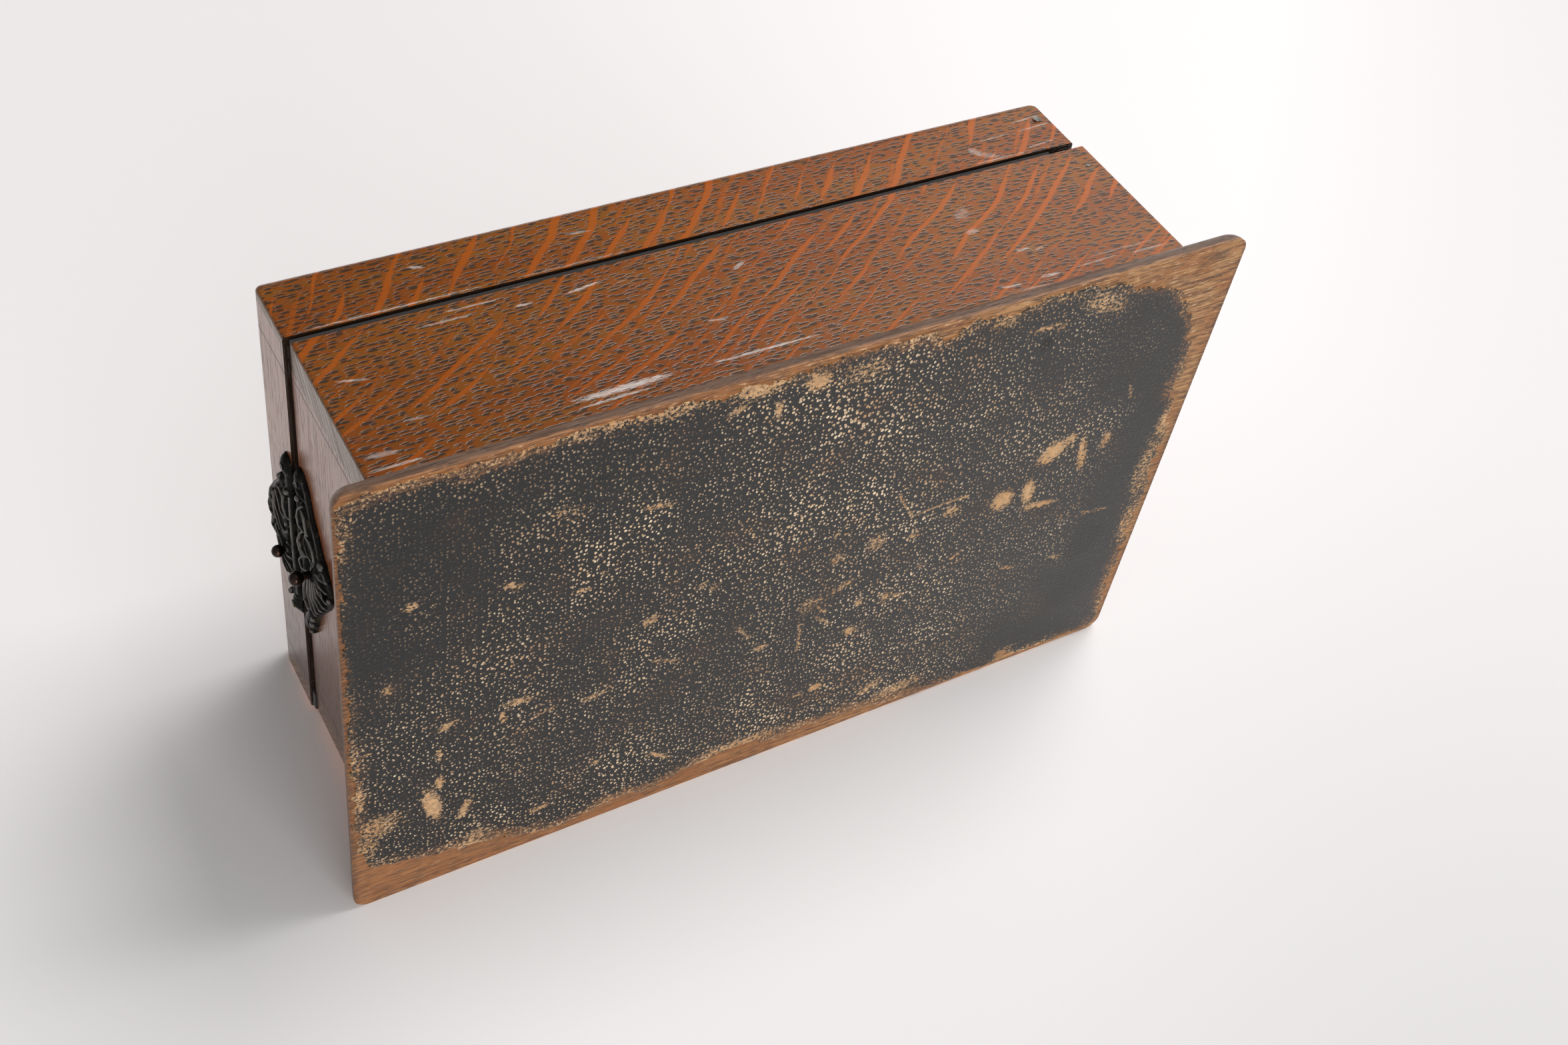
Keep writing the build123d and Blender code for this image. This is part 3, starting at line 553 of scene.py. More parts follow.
# ---------------------------------------------------------------- the worn leathercloth
# The sheet's torn outline, seen from below, as (y, x) in millimetres.
CLOTH_OUTLINE = [
    (-124.3, 60), (-123.9, 77.9), (-112, 79.2), (-60, 78.9), (-38, 78.2), (-33, 76.4), (-26, 77.6),
    (-14, 77.0), (-4, 78.0), (10, 78.6), (24, 78.4), (27, 76.2), (30, 73.4), (34, 76.0), (40, 78.0),
    (50, 76.6), (62, 78.6), (72, 78.2), (83, 76.6), (90, 73.0), (97, 71.0), (104, 69.0), (110, 62.0),
    (114, 56.0), (118, 44.0), (119, 34.0), (117, 27.0), (120.5, 20), (122, 8), (121.5, -6), (122.6, -20),
    (121.6, -34), (122.4, -48), (120.8, -58), (123, -66), (123.2, -76.6), (100, -78.4), (91, -78.6),
    (89, -74.6), (85, -74.8), (82, -78.6), (60, -78.2), (44, -77.6), (30, -75.2), (14, -74.2), (4, -74.6),
    (-4, -71.6), (-16, -71.2), (-24, -72.6), (-38, -74.8), (-52, -74.6), (-66, -77.0), (-76, -74.4),
    (-84, -70.4), (-94, -69.6), (-104, -66.8), (-114, -64.4), (-122, -60.6), (-124.2, -40), (-123.6, -20),
    (-124.4, 0), (-124.0, 20), (-124.4, 40),
]
# Larger worn patches: (y, x, half length, half width, turn in degrees, strength).
CLOTH_PATCHES = [
    (79, 17, 4.6, 3.2, 30, 1.0), (84, 20, 2.2, 1.8, 60, 0.8), (65.5, 3, 3.4, 3.2, -30, 1.1),
    (74.5, 3, 2.0, 4.4, 12, 1.0), (80, -4.6, 5.6, 1.2, -8, 0.9), (90.5, 12, 1.4, 6.5, 12, 0.9),
    (98, 15, 1.6, 3.2, 0, 0.7), (47.5, 6, 2.6, 2.2, 0, 0.7), (-103, -44, 2.0, 6.2, 12, 1.1),
    (-101, -35, 1.2, 2.6, 0, 0.8), (-94, -51, 1.4, 3.6, -15, 0.9), (-118, -45, 6.5, 4.6, 10, 0.62),
    (-122, -52, 4.0, 7.0, 0, 0.6), (-99, -12, 2.6, 1.4, 20, 0.8), (-101, -23, 1.0, 3.4, 0, 0.6),
    (-80, -12, 4.0, 1.4, -10, 0.7), (-84, -16, 1.0, 2.4, 0, 0.7), (22, -33, 2.0, 1.5, -30, 0.9),
    (14.5, -55.4, 1.9, 1.5, 0, 1.0), (8, -56, 2.6, 0.5, 0, 0.7), (-6, 73, 3.6, 2.6, -20, 0.9),
    (-22, 77, 7.0, 3.2, 0, 0.9), (-28, 71, 3.0, 1.2, 25, 0.7), (-16, 67, 0.9, 2.8, -10, 0.8),
    (-36, -60, 4.6, 0.9, -40, 0.8), (-8, -26, 2.0, 1.2, -20, 0.7), (-114, 10, 1.3, 2.0, 10, 0.7),
    (-108, 38, 2.0, 1.4, 0, 0.7), (-45, 46, 4.2, 0.9, -12, 0.7), (-83, 34, 3.2, 1.2, -25, 0.7),
    (-64, 24, 2.6, 0.9, -10, 0.6), (-44, 3, 2.4, 1.6, 10, 0.7), (-26, 8, 1.6, 1.2, 0, 0.6),
    (36, -24, 2.6, 1.0, -20, 0.6), (24, 3, 3.0, 3.2, 30, 0.6), (23, -21, 1.2, 1.8, 0, 0.7),
    (12, 2, 2.6, 2.0, -40, 0.6), (36, 1, 2.0, 1.4, 0, 0.6), (16, -11, 3.4, 1.4, 25, 0.6),
    (32, -23, 2.0, 2.4, 0, 0.6), (6, -14, 4.0, 3.0, 20, 0.5), (62, 68, 5.0, 0.9, 0, 0.7),
    (80, 71, 8.0, 3.4, -25, 0.62), (67, 67, 1.6, 2.0, 0, 0.5), (119, -4, 4.0, 14.0, 0, 0.6),
    (120, 14, 3.0, 6.0, 0, 0.8), (120.5, -28, 3.4, 9.0, 0, 0.66), (35, -66, 5.0, 2.2, 30, 0.6),
    (45, -72, 9.0, 2.6, 5, 0.62), (-10, -70, 14.0, 2.4, 0, 0.66), (-90, -66, 4.0, 4.0, 0, 0.5),
    (-72, -64, 3.6, 1.4, 0, 0.6), (-56, -52, 1.6, 0.8, 0, 0.7), (-91, -67, 2.0, 4.5, 0, 0.6),
    (-122, 70, 1.6, 6.0, 0, 0.35), (-45, 77, 8.0, 2.0, 0, 0.55),
    (8, 72, 7.0, 4.0, 0, 0.5), (48, 75, 4.0, 3.0, 0, 0.62), (-58, 28, 2.0, 1.0, 0, 0.4),
    (-72, 55, 2.0, 1.6, 40, 0.5), (-68, 53, 3.5, 2.5, 0, 0.35), (-123, -30, 2.6, 6.0, 0, 0.7),
    (42, -14, 1.6, 1.2, 0, 0.5), (-72, -20, 3.0, 1.0, 20, 0.5), (-58, -21, 4.5, 1.2, 10, 0.55),
    (54, -15, 2.0, 0.8, 40, 0.6), (10, 12, 1.0, 1.6, 0, 0.5), (-30, 10, 2.0, 1.0, 60, 0.6),
    (94, -33, 2.4, 1.0, -20, 0.6), (76, -30, 3.0, 0.8, -20, 0.6),
]
# Fine scratches: (start, end, half width).
CLOTH_LINES = [
    ((28, 20), (33.5, 10.5), 0.35), ((33.5, 9.2), (44, 10.4), 0.3), ((44, 10.4), (52, 10.2), 0.5),
    ((4.2, -22), (5.0, -33.5), 0.55), ((-41, -15), (-34, -18.5), 0.45), ((-17, -13), (-12, -20), 0.4),
    ((9, -21), (14, -26), 0.35), ((98, -16), (109, -17.6), 0.35), ((-17, 70), (-15.5, 64.5), 0.5),
    ((12, -20), (9, -17), 0.4), ((-123, -12.4), (-119, -12.2), 0.35), ((100, 35), (102, 30), 0.3),
]
# Where the dots grow or fade: (y, x, reach y, reach x, change in dot size, change in brightness).
CLOTH_ZONES = [
    (-96, 62, 36, 22, -0.03, -0.65), (-110, 35, 16, 34, -0.05, -0.55), (6, 60, 38, 20, 0.06, 0.35),
    (-40, 30, 50, 30, 0.0, 0.2), (-95, 15, 14, 22, 0.03, 0.3), (-108, -35, 14, 26, 0.01, 0.1),
    (112, 10, 11, 80, -0.20, -0.6), (104, -50, 22, 30, -0.12, -0.5), (92, 50, 14, 22, -0.06, -0.4),
    (66, 52, 12, 12, -0.05, -0.3), (118, 40, 8, 22, 0.12, -0.2), (45, -35, 30, 30, 0.02, 0.2),
    (2, 24, 42, 26, 0.045, 0.35), (-20, -45, 50, 25, 0.02, 0.2), (20, -5, 30, 30, -0.02, 0.0),
    (-70, 64, 24, 10, 0.0, -0.25),
]
# Dark spots: (y, x, radius).
STAINS = [(63.8, 62.2, 2.4), (-61.8, 61.8, 1.7), (-72.5, 75.1, 0.6), (104, -52, 9.0), (104, -30, 8.0)]


def poly_distance(points, y, x):
    """Signed distance to a closed outline, positive inside."""
    best, inside = 1e9, False
    n = len(points)
    for i in range(n):
        (y0, x0), (y1, x1) = points[i], points[(i + 1) % n]
        dy, dx = y1 - y0, x1 - x0
        t = max(0.0, min(1.0, ((y - y0) * dy + (x - x0) * dx) / (dy * dy + dx * dx)))
        best = min(best, (y - y0 - t * dy) ** 2 + (x - x0 - t * dx) ** 2)
        if (x0 > x) != (x1 > x) and y < y0 + (x - x0) * dy / dx:
            inside = not inside
    return math.sqrt(best) if inside else -math.sqrt(best)


def smooth(v, lo, hi):
    t = max(0.0, min(1.0, (v - lo) / (hi - lo)))
    return t * t * (3 - 2 * t)


def onto_edge(field, i, j, step):
    """Shift that pulls a grid point outside the outline onto it."""
    f = field[i, j]
    if f >= 0:
        return 0.0, 0.0
    gi = (field.get((i + 1, j), f) - field.get((i - 1, j), f)) / 2
    gj = (field.get((i, j + 1), f) - field.get((i, j - 1), f)) / 2
    norm = gi * gi + gj * gj
    if norm <= 1e-6:
        return 0.0, 0.0
    return max(-1.0, min(1.0, -f * gi / norm)) * step, max(-1.0, min(1.0, -f * gj / norm)) * step


CLOTH_GRID = 0.62
CLOTH_BACK = 0.41  # where the sheet's edge meets the wood, just past its thickness


def build_cloth():
    step = CLOTH_GRID
    ny, nx = int(249.0 / step), int(159.0 / step)
    y0, x0 = -ny * step / 2, -nx * step / 2
    edge = {}
    coarse = 4
    # Distance to the outline on a coarse grid; ragged noise is added per fine point.
    for i in range(0, ny + coarse + 1, coarse):
        for j in range(0, nx + coarse + 1, coarse):
            edge[i // coarse, j // coarse] = poly_distance(CLOTH_OUTLINE, y0 + i * step, x0 + j * step)

    def field(i, j):
        ci, cj = i // coarse, j // coarse
        fi, fj = (i % coarse) / coarse, (j % coarse) / coarse
        d = (
            edge[ci, cj] * (1 - fi) * (1 - fj)
            + edge[ci + 1, cj] * fi * (1 - fj)
            + edge[ci, cj + 1] * (1 - fi) * fj
            + edge[ci + 1, cj + 1] * fi * fj
        )
        p = Vector(((y0 + i * step) * 0.22, (x0 + j * step) * 0.5, 1.5))
        return d + 1.6 * noise.noise(p) + 1.0 * noise.noise(p * 3.1)

    patches = []
    for py, px, a, b, turn, strength in CLOTH_PATCHES:
        t = math.radians(turn)
        patches.append((py, px, a, b, math.cos(t), math.sin(t), strength))
    values = {}
    verts, faces, wear, scuff, stain, bright, edging = [], [], [], [], [], [], []
    index = {}
    for i in range(ny + 1):
        for j in range(nx + 1):
            values[i, j] = field(i, j)

    def vertex(i, j):
        key = (i, j)
        if key in index:
            return index[key]
        f = values[key]
        shift_y, shift_x = onto_edge(values, i, j, step)
        y, x = y0 + i * step + shift_y, x0 + j * step + shift_x
        s = 0.0
        for py, px, a, b, c, n, strength in patches:
            dy, dx = y - py, x - px
            if abs(dy) > 2.2 * (a + b) or abs(dx) > 2.2 * (a + b):
                continue
            u, v = (dy * c + dx * n) / a, (dx * c - dy * n) / b
            s = max(s, strength * smooth(math.sqrt(u * u + v * v), 1.9, 0.3))
        for (ay, ax), (by, bx), w in CLOTH_LINES:
            ly, lx = by - ay, bx - ax
            t = max(0.0, min(1.0, ((y - ay) * ly + (x - ax) * lx) / (ly * ly + lx * lx)))
            d = math.hypot(y - ay - t * ly, x - ax - t * lx)
            s = max(s, smooth(d, w + 0.75, w * 0.3) * 0.62)
        big = noise.noise(Vector((y * 0.022, x * 0.022, 3.0)))
        mid = noise.noise(Vector((y * 0.07, x * 0.07, 8.0)))
        s = max(s, (0.40 + 0.5 * mid) * smooth(f, 4.5, 0.3))
        rim = smooth(f, 9.0 + 8.0 * mid, 0.5) * (0.75 + 0.5 * big)
        w, light = 0.180 + 0.06 * big + 0.10 * mid, 0.78 + 0.5 * big
        for wy, wx, ry, rx, more, glow in CLOTH_ZONES:
            hit = math.exp(-((y - wy) / ry) ** 2 - ((x - wx) / rx) ** 2)
            w += more * hit
            light += glow * hit
        w = max(0.02, w)
        light = max(0.0, min(1.0, light))
        dark = 0.0
        for sy, sx, r in STAINS:
            dark = max(dark, smooth(math.hypot(y - sy, x - sx), r * 1.3, r * 0.5) * (0.8 if r < 3 else 0.25))
        lift = 0.10 * smooth(s, 0.3, 0.8) + 0.05 * (0.5 + 0.5 * mid)
        index[key] = len(verts)
        verts.append((x * MM, y * MM, lift * MM))
        wear.append(w)
        scuff.append(s)
        stain.append(dark)
        bright.append(light)
        edging.append(rim)
        return index[key]

    for i in range(ny):
        for j in range(nx):
            corners = [values[i, j], values[i + 1, j], values[i + 1, j + 1], values[i, j + 1]]
            if sum(corners) > 0:
                faces.append([vertex(i, j), vertex(i + 1, j), vertex(i + 1, j + 1), vertex(i, j + 1)])
    # Turn the sheet's edge up to the wood, so it has its real thickness.
    count = {}
    for f in faces:
        for k in range(4):
            e = (f[k], f[(k + 1) % 4])
            count[e] = count.get(e, 0) + 1
    rim = [e for e in count if (e[1], e[0]) not in count]
    upper = {}
    for a, b in rim:
        for v in (a, b):
            if v not in upper:
                upper[v] = len(verts)
                verts.append((verts[v][0], verts[v][1], CLOTH_BACK * MM))
                wear.append(wear[v])
                scuff.append(0.9)
                stain.append(0.0)
                bright.append(1.0)
                edging.append(1.0)
        faces.append([b, a, upper[a], upper[b]])
    mesh = bpy.data.meshes.new("worn_covering")
    mesh.from_pydata(verts, [], faces)
    fields = (("wear", wear), ("scuff", scuff), ("stain", stain), ("bright", bright), ("edge", edging))
    for name, data in fields:
        mesh.attributes.new(name, "FLOAT", "POINT").data.foreach_set("value", data)
    mesh.shade_smooth()
    mesh.update()
    obj = bpy.data.objects.new("worn_covering", mesh)
    bpy.context.collection.objects.link(obj)
    obj.data.materials.append(cloth_material())
    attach(obj, "body")
    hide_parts("base_covering")


build_cloth()


# ---------------------------------------------------------------- cast clasp plates
def seg_distance(px, pz, ax, az, bx, bz):
    dx, dz = bx - ax, bz - az
    t = max(0.0, min(1.0, ((px - ax) * dx + (pz - az) * dz) / (dx * dx + dz * dz + 1e-12)))
    return math.hypot(px - ax - t * dx, pz - az - t * dz), t


CAST_GRID = 0.2
THINNEST = 0.35


def cast_piece(name, bounds, outline, strokes, beads, holes, y_back, skin):
    """Cast ornament as one height field in front of y_back.

    strokes: lists of (x, z, radius, height). beads: (x, z, radius, height). All in mm.
    """
    step = CAST_GRID
    x0, x1, z0, z1 = bounds
    nx, nz = int((x1 - x0) / step), int((z1 - z0) / step)
    height, inside = {}, {}
    for i in range(nx + 1):
        for j in range(nz + 1):
            x, z = x0 + i * step, z0 + j * step
            plate = poly_distance(outline, x, z)
            best, h = plate, 0.0
            if plate > -0.6:
                h = skin * smooth(plate, -0.4, 0.9)
            total = h
            for stroke in strokes:
                for (ax, az, ar, ah), (bx, bz, br, bh) in zip(stroke, stroke[1:]):
                    reach = max(ar, br)
                    if min(ax, bx) - reach > x or max(ax, bx) + reach < x:
                        continue
                    if min(az, bz) - reach > z or max(az, bz) + reach < z:
                        continue
                    d, t = seg_distance(x, z, ax, az, bx, bz)
                    r, top = ar + (br - ar) * t, ah + (bh - ah) * t
                    best = max(best, r - d)
                    if d < r:
                        total = max(total, top * math.sqrt(1 - (d / r) ** 2) ** 0.9)
            for bx, bz, br, bh in beads:
                d = math.hypot(x - bx, z - bz)
                best = max(best, br - d)
                if d < br:
                    total = max(total, bh - br * 0.9 + br * 0.9 * math.sqrt(1 - (d / br) ** 2))
            for hx, hz, hr in holes:
                best = min(best, math.hypot(x - hx, z - hz) - hr)
            height[i, j], inside[i, j] = total, best
    # Soften the relief a little, as a casting is.
    for _ in range(2):
        new = {}
        for (i, j), h in height.items():
            near = [height.get((i + a, j + b), h) for a in (-1, 0, 1) for b in (-1, 0, 1)]
            new[i, j] = 0.45 * h + 0.55 * sum(near) / 9.0
        height = new
    verts, faces, high, index = [], [], [], {}
    tallest = max(height.values())

    def vertex(i, j):
        key = (i, j)
        if key in index:
            return index[key]
        shift_x, shift_z = onto_edge(inside, i, j, step)
        x, z = x0 + i * step + shift_x, z0 + j * step + shift_z
        h = max(THINNEST, height[key])
        near = [height.get((i + a, j + b), h) for a in (-3, 0, 3) for b in (-3, 0, 3)]
        index[key] = len(verts)
        verts.append((x * MM, (y_back - h) * MM, z * MM))
        high.append(max(0.0, min(1.0, 0.45 + 1.1 * (h - sum(near) / 9.0) + 0.12 * (h / tallest - 0.5))))
        return index[key]

    for i in range(nx):
        for j in range(nz):
            corners = [inside[i, j], inside[i + 1, j], inside[i + 1, j + 1], inside[i, j + 1]]
            if sum(corners) > 0:
                faces.append([vertex(i, j), vertex(i + 1, j), vertex(i + 1, j + 1), vertex(i, j + 1)])
    edges = set()
    for f in faces:
        for k in range(4):
            edges.add((f[k], f[(k + 1) % 4]))
    rim = [e for e in edges if (e[1], e[0]) not in edges]
    back = {}
    for a, b in sorted(rim):
        for v in (a, b):
            if v not in back:
                back[v] = len(verts)
                verts.append((verts[v][0], y_back * MM, verts[v][2]))
                high.append(0.4)
        faces.append([b, a, back[a], back[b]])
    mesh = bpy.data.meshes.new(name)
    mesh.from_pydata(verts, [], faces)
    mesh.attributes.new("high", "FLOAT", "POINT").data.foreach_set("value", high)
    mesh.shade_smooth()
    mesh.update()
    obj = bpy.data.objects.new(name, mesh)
    bpy.context.collection.objects.link(obj)
    obj.data.materials.append(cast)
    return obj


LID_BACK, BODY_BACK = -114.3, -113.2
LID_SHAPE = [
    (27.6, 60.7), (29.6, 62.4), (29.2, 65.4), (26.0, 66.2), (20.6, 66.2), (16.0, 69.0), (11.0, 72.4),
    (5.0, 74.2), (0.0, 74.2), (-5.0, 73.0), (-10.0, 69.4), (-15.0, 66.6), (-20.0, 64.8), (-26.0, 65.0),
    (-28.4, 63.6), (-28.0, 60.8),
]
lid_strokes = [
    # right end: blunt tab, neck and knob
    [(26.9, 63.6, 2.7, 2.1), (25.6, 62.9, 2.3, 2.1)],
    [(25.4, 62.8, 1.8, 1.8), (22.4, 62.1, 1.3, 1.6), (19.4, 62.2, 1.5, 1.7)],
    # broad leaf that fills the middle
    [(17.5, 65.6, 1.6, 1.8), (12.0, 66.6, 2.8, 2.1), (5.0, 67.0, 4.0, 2.4), (-2.0, 66.8, 4.0, 2.4)],
    [(-2.0, 66.8, 4.0, 2.4), (-8.0, 65.4, 3.2, 2.2), (-15.0, 63.6, 2.0, 1.9)],
    # lobes along the crest
    [(19.4, 66.0, 0.8, 2.0), (15.6, 68.4, 1.2, 2.5), (12.6, 70.6, 1.2, 2.7)],
    [(13.2, 71.0, 0.9, 2.5), (9.5, 72.8, 1.4, 3.0), (6.4, 73.6, 1.3, 3.1)],
    [(6.8, 73.2, 1.1, 3.0), (3.4, 74.2, 1.5, 3.3), (1.0, 73.8, 1.3, 3.2), (0.2, 71.4, 0.8, 3.1)],
    [(-0.6, 72.8, 1.0, 3.1), (-3.6, 72.8, 1.3, 3.3), (-4.4, 71.0, 0.9, 3.1), (-4.8, 69.4, 0.7, 3.0)],
    [(-5.8, 70.6, 1.0, 2.9), (-9.4, 68.6, 1.2, 3.0), (-12.6, 67.0, 1.1, 2.9), (-14.4, 65.1, 0.9, 2.7)],
    # veins
    [(15.2, 68.6, 0.5, 2.7), (16.3, 65.5, 0.6, 2.8), (15.2, 63.6, 0.6, 2.8), (11.6, 63.9, 0.6, 2.9),
     (9.8, 62.6, 0.6, 2.7), (9.2, 61.4, 0.5, 2.3)],
    [(12.8, 69.2, 0.5, 2.9), (11.4, 66.9, 0.6, 3.0), (8.4, 65.7, 0.6, 3.0), (7.2, 63.9, 0.5, 2.7)],
    [(10.2, 71.2, 0.6, 3.1), (7.5, 69.3, 0.7, 3.2), (5.9, 67.3, 0.7, 3.2), (3.3, 66.1, 0.6, 3.1),
     (1.5, 64.1, 0.6, 2.8)],
    [(6.8, 71.8, 0.5, 3.2), (3.6, 70.4, 0.6, 3.3), (2.0, 68.4, 0.6, 3.2), (-0.2, 67.2, 0.5, 3.1)],
    # root of the ball
    [(-1.6, 70.4, 1.0, 3.1), (-2.4, 68.0, 1.5, 3.1), (-3.4, 65.6, 1.9, 3.2), (-4.3, 63.9, 1.5, 3.3)],
    [(-1.6, 63.4, 1.0, 2.6), (-1.4, 61.6, 0.9, 2.1)],
    [(-8.2, 67.2, 0.6, 2.9), (-9.3, 64.8, 0.7, 2.8), (-9.6, 62.8, 0.6, 2.6), (-10.7, 61.6, 0.6, 2.3)],
    [(-6.8, 66.0, 0.5, 2.8), (-7.0, 63.6, 0.7, 2.6), (-6.2, 61.6, 0.6, 2.2)],
    [(-12.2, 66.0, 0.5, 2.6), (-12.8, 64.0, 0.6, 2.6), (-14.4, 62.4, 0.6, 2.3)],
    # left end
    [(-16.4, 63.4, 1.4, 2.1), (-19.6, 62.6, 1.2, 1.8), (-22.0, 62.6, 1.4, 1.8)],
    [(-23.8, 62.9, 1.9, 2.0), (-25.7, 62.9, 2.3, 2.0)],
    # rolled edge along the gap
    [(17.0, 61.4, 0.8, 1.7), (9.0, 61.3, 0.8, 1.9), (0.0, 61.3, 0.8, 1.9), (-9.0, 61.3, 0.8, 1.8),
     (-20.0, 61.4, 0.8, 1.6)],
]
lid_beads = [
    (19.8, 66.8, 1.0, 2.6), (18.7, 62.1, 1.3, 2.6), (6.0, 62.8, 0.8, 2.8), (3.4, 62.6, 0.7, 2.7),
    (-23.7, 66.0, 1.0, 2.4), (-17.4, 65.4, 0.8, 2.3),
]
lid_clasp = cast_piece(
    "ornate_lid_plate", (-31.0, 32.0, 60.0, 77.0), LID_SHAPE, lid_strokes, lid_beads,
    [], LID_BACK, 1.1,
)
BODY_SHAPE = [
    (27.2, 59.7), (30.2, 58.2), (30.4, 55.2), (28.6, 53.4), (26.8, 51.9), (23.1, 50.7), (19.7, 49.4),
    (16.8, 46.9), (11.9, 44.2), (9.0, 41.6), (6.5, 39.6), (3.0, 38.6), (-1.0, 38.6), (-4.8, 40.4),
    (-11.1, 44.9), (-16.8, 48.8), (-20.4, 50.4), (-26.0, 52.6), (-30.0, 54.6), (-30.4, 58.2), (-27.6, 59.7),
]
body_strokes = [
    # right end: blunt tab and collar
    [(28.0, 56.7, 2.4, 2.2), (26.6, 56.2, 2.1, 2.1)],
    [(25.0, 58.2, 0.9, 2.2), (24.5, 55.2, 1.2, 2.4), (23.7, 52.8, 0.9, 1.6)],
    # three overlapping leaves along the gap, each with a raised edge on both sides
    [(20.8, 54.0, 1.0, 2.1), (17.4, 53.2, 2.0, 2.3), (15.2, 52.0, 1.6, 2.3), (14.2, 50.8, 0.8, 2.2)],
    [(21.4, 53.2, 0.5, 2.7), (19.2, 54.8, 0.6, 3.0), (16.2, 55.2, 0.7, 3.2), (14.3, 54.2, 0.7, 3.2),
     (14.0, 51.6, 0.6, 2.9)],
    [(20.4, 53.2, 0.5, 2.6), (18.8, 51.6, 0.5, 2.6), (16.3, 50.8, 0.6, 2.7), (14.1, 50.0, 0.6, 2.7)],
    [(12.4, 52.2, 1.0, 2.1), (9.8, 51.4, 2.8, 2.3), (7.6, 50.0, 3.2, 2.4), (5.2, 49.4, 1.6, 2.2)],
    [(12.8, 53.0, 0.5, 2.7), (10.2, 54.8, 0.6, 3.0), (6.8, 55.8, 0.7, 3.3), (4.8, 54.6, 0.7, 3.3),
     (3.6, 52.6, 0.6, 3.0)],
    [(12.5, 51.6, 0.5, 2.6), (13.0, 48.8, 0.6, 2.6), (11.6, 46.4, 0.6, 2.6), (8.8, 45.9, 0.6, 2.6),
     (5.0, 47.6, 0.6, 2.6)],
    [(11.0, 52.4, 0.4, 2.7), (9.2, 50.6, 0.5, 3.0), (7.6, 48.8, 0.5, 3.0), (7.0, 47.4, 0.4, 2.7)],
    [(2.4, 53.4, 1.2, 2.3), (0.0, 53.8, 1.7, 2.6), (-1.6, 53.2, 1.2, 2.6)],
    [(3.0, 53.8, 0.5, 2.8), (-0.4, 55.9, 0.7, 3.2), (-2.2, 54.6, 0.6, 3.2), (-1.8, 52.8, 0.5, 2.9)],
    [(20.0, 57.8, 1.2, 1.7), (8.0, 58.2, 1.2, 1.9), (-4.0, 58.2, 1.2, 1.9), (-18.0, 57.8, 1.2, 1.8)],
    # root of the button
    [(4.2, 48.2, 1.5, 2.2), (1.6, 49.2, 2.1, 2.2), (-0.6, 49.8, 1.8, 2.2)],
    # shell fan
    [(2.4, 47.2, 0.5, 2.1), (4.6, 43.4, 1.0, 2.3), (5.8, 40.8, 0.8, 1.8)],
    [(1.4, 46.8, 0.5, 2.2), (2.2, 42.8, 0.9, 2.5), (2.6, 40.0, 0.8, 1.9)],
    [(0.0, 47.0, 0.5, 2.3), (-0.6, 43.6, 1.0, 2.7), (-1.2, 40.0, 0.8, 2.0)],
    [(-1.4, 47.8, 0.6, 2.4), (-3.8, 44.8, 1.1, 2.8), (-5.2, 42.0, 0.8, 2.1)],
    [(-2.2, 48.8, 0.6, 2.5), (-6.4, 46.8, 1.1, 2.9), (-9.2, 44.6, 0.8, 2.2)],
    [(-2.6, 50.0, 0.6, 2.6), (-8.0, 49.0, 1.1, 3.0), (-13.0, 47.4, 0.9, 2.3)],
    [(-2.8, 51.2, 0.6, 2.7), (-9.0, 51.6, 1.2, 3.0), (-14.6, 50.6, 1.0, 2.5), (-16.6, 49.6, 0.7, 2.0)],
    [(-3.2, 52.6, 0.6, 2.8), (-10.0, 54.4, 1.2, 3.0), (-14.4, 54.6, 1.2, 3.0), (-17.0, 53.0, 1.0, 2.7)],
    # left end
    [(-19.6, 53.6, 1.4, 2.1), (-24.0, 55.6, 2.4, 2.2), (-27.4, 56.8, 2.4, 2.2)],
    # low raised edge round the smooth hollow
    [(28.6, 54.2, 0.7, 1.4), (26.6, 52.6, 0.8, 1.4), (23.0, 51.4, 0.8, 1.4), (19.5, 50.1, 0.8, 1.4),
     (16.5, 47.6, 0.8, 1.5), (11.6, 45.0, 0.8, 1.6), (8.6, 42.2, 0.8, 1.7), (6.2, 40.2, 0.8, 1.7)],
]
body_beads = [
    (21.9, 55.8, 1.05, 2.8), (9.4, 43.0, 1.45, 2.4), (-20.2, 51.4, 0.95, 2.4), (-23.6, 52.6, 1.1, 2.4),
    (-28.4, 54.4, 0.9, 2.0), (-17.4, 56.6, 0.8, 2.4), (0.6, 38.8, 0.9, 1.8),
]
body_clasp = cast_piece(
    "ornate_body_plate", (-32.0, 32.0, 37.0, 60.2), BODY_SHAPE, body_strokes,
    body_beads, [(0.0, 49.6, 1.1)], BODY_BACK, 1.0,
)
for piece, body, node in (
    (lid_clasp, "lid", "clasp_lid_plate"),
    (body_clasp, "body", "clasp_body_plate"),
):
    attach(piece, body)
    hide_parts(node)


# ---------------------------------------------------------------- floor, lights and camera
def place(obj, location, target):
    obj.location = location
    obj.rotation_euler = (Vector(target) - Vector(location)).to_track_quat("-Z", "Y").to_euler()


# The box lies on one long side: on the base's edge and the lid's edge. UP is upright in that pose.
TILT = math.radians(7.28)
UP = Vector((math.cos(TILT), 0.0, -math.sin(TILT)))
CONTACT = Vector((-0.08, 0.0, 0.001)) - UP * 0.0002
BACK = Vector((0.092, 0.685, 0.723)).normalized()
BACK = (BACK - UP * BACK.dot(UP)).normalized()
RIGHT = BACK.cross(UP)
MIDDLE = Vector((0.0, 0.0, 0.04))

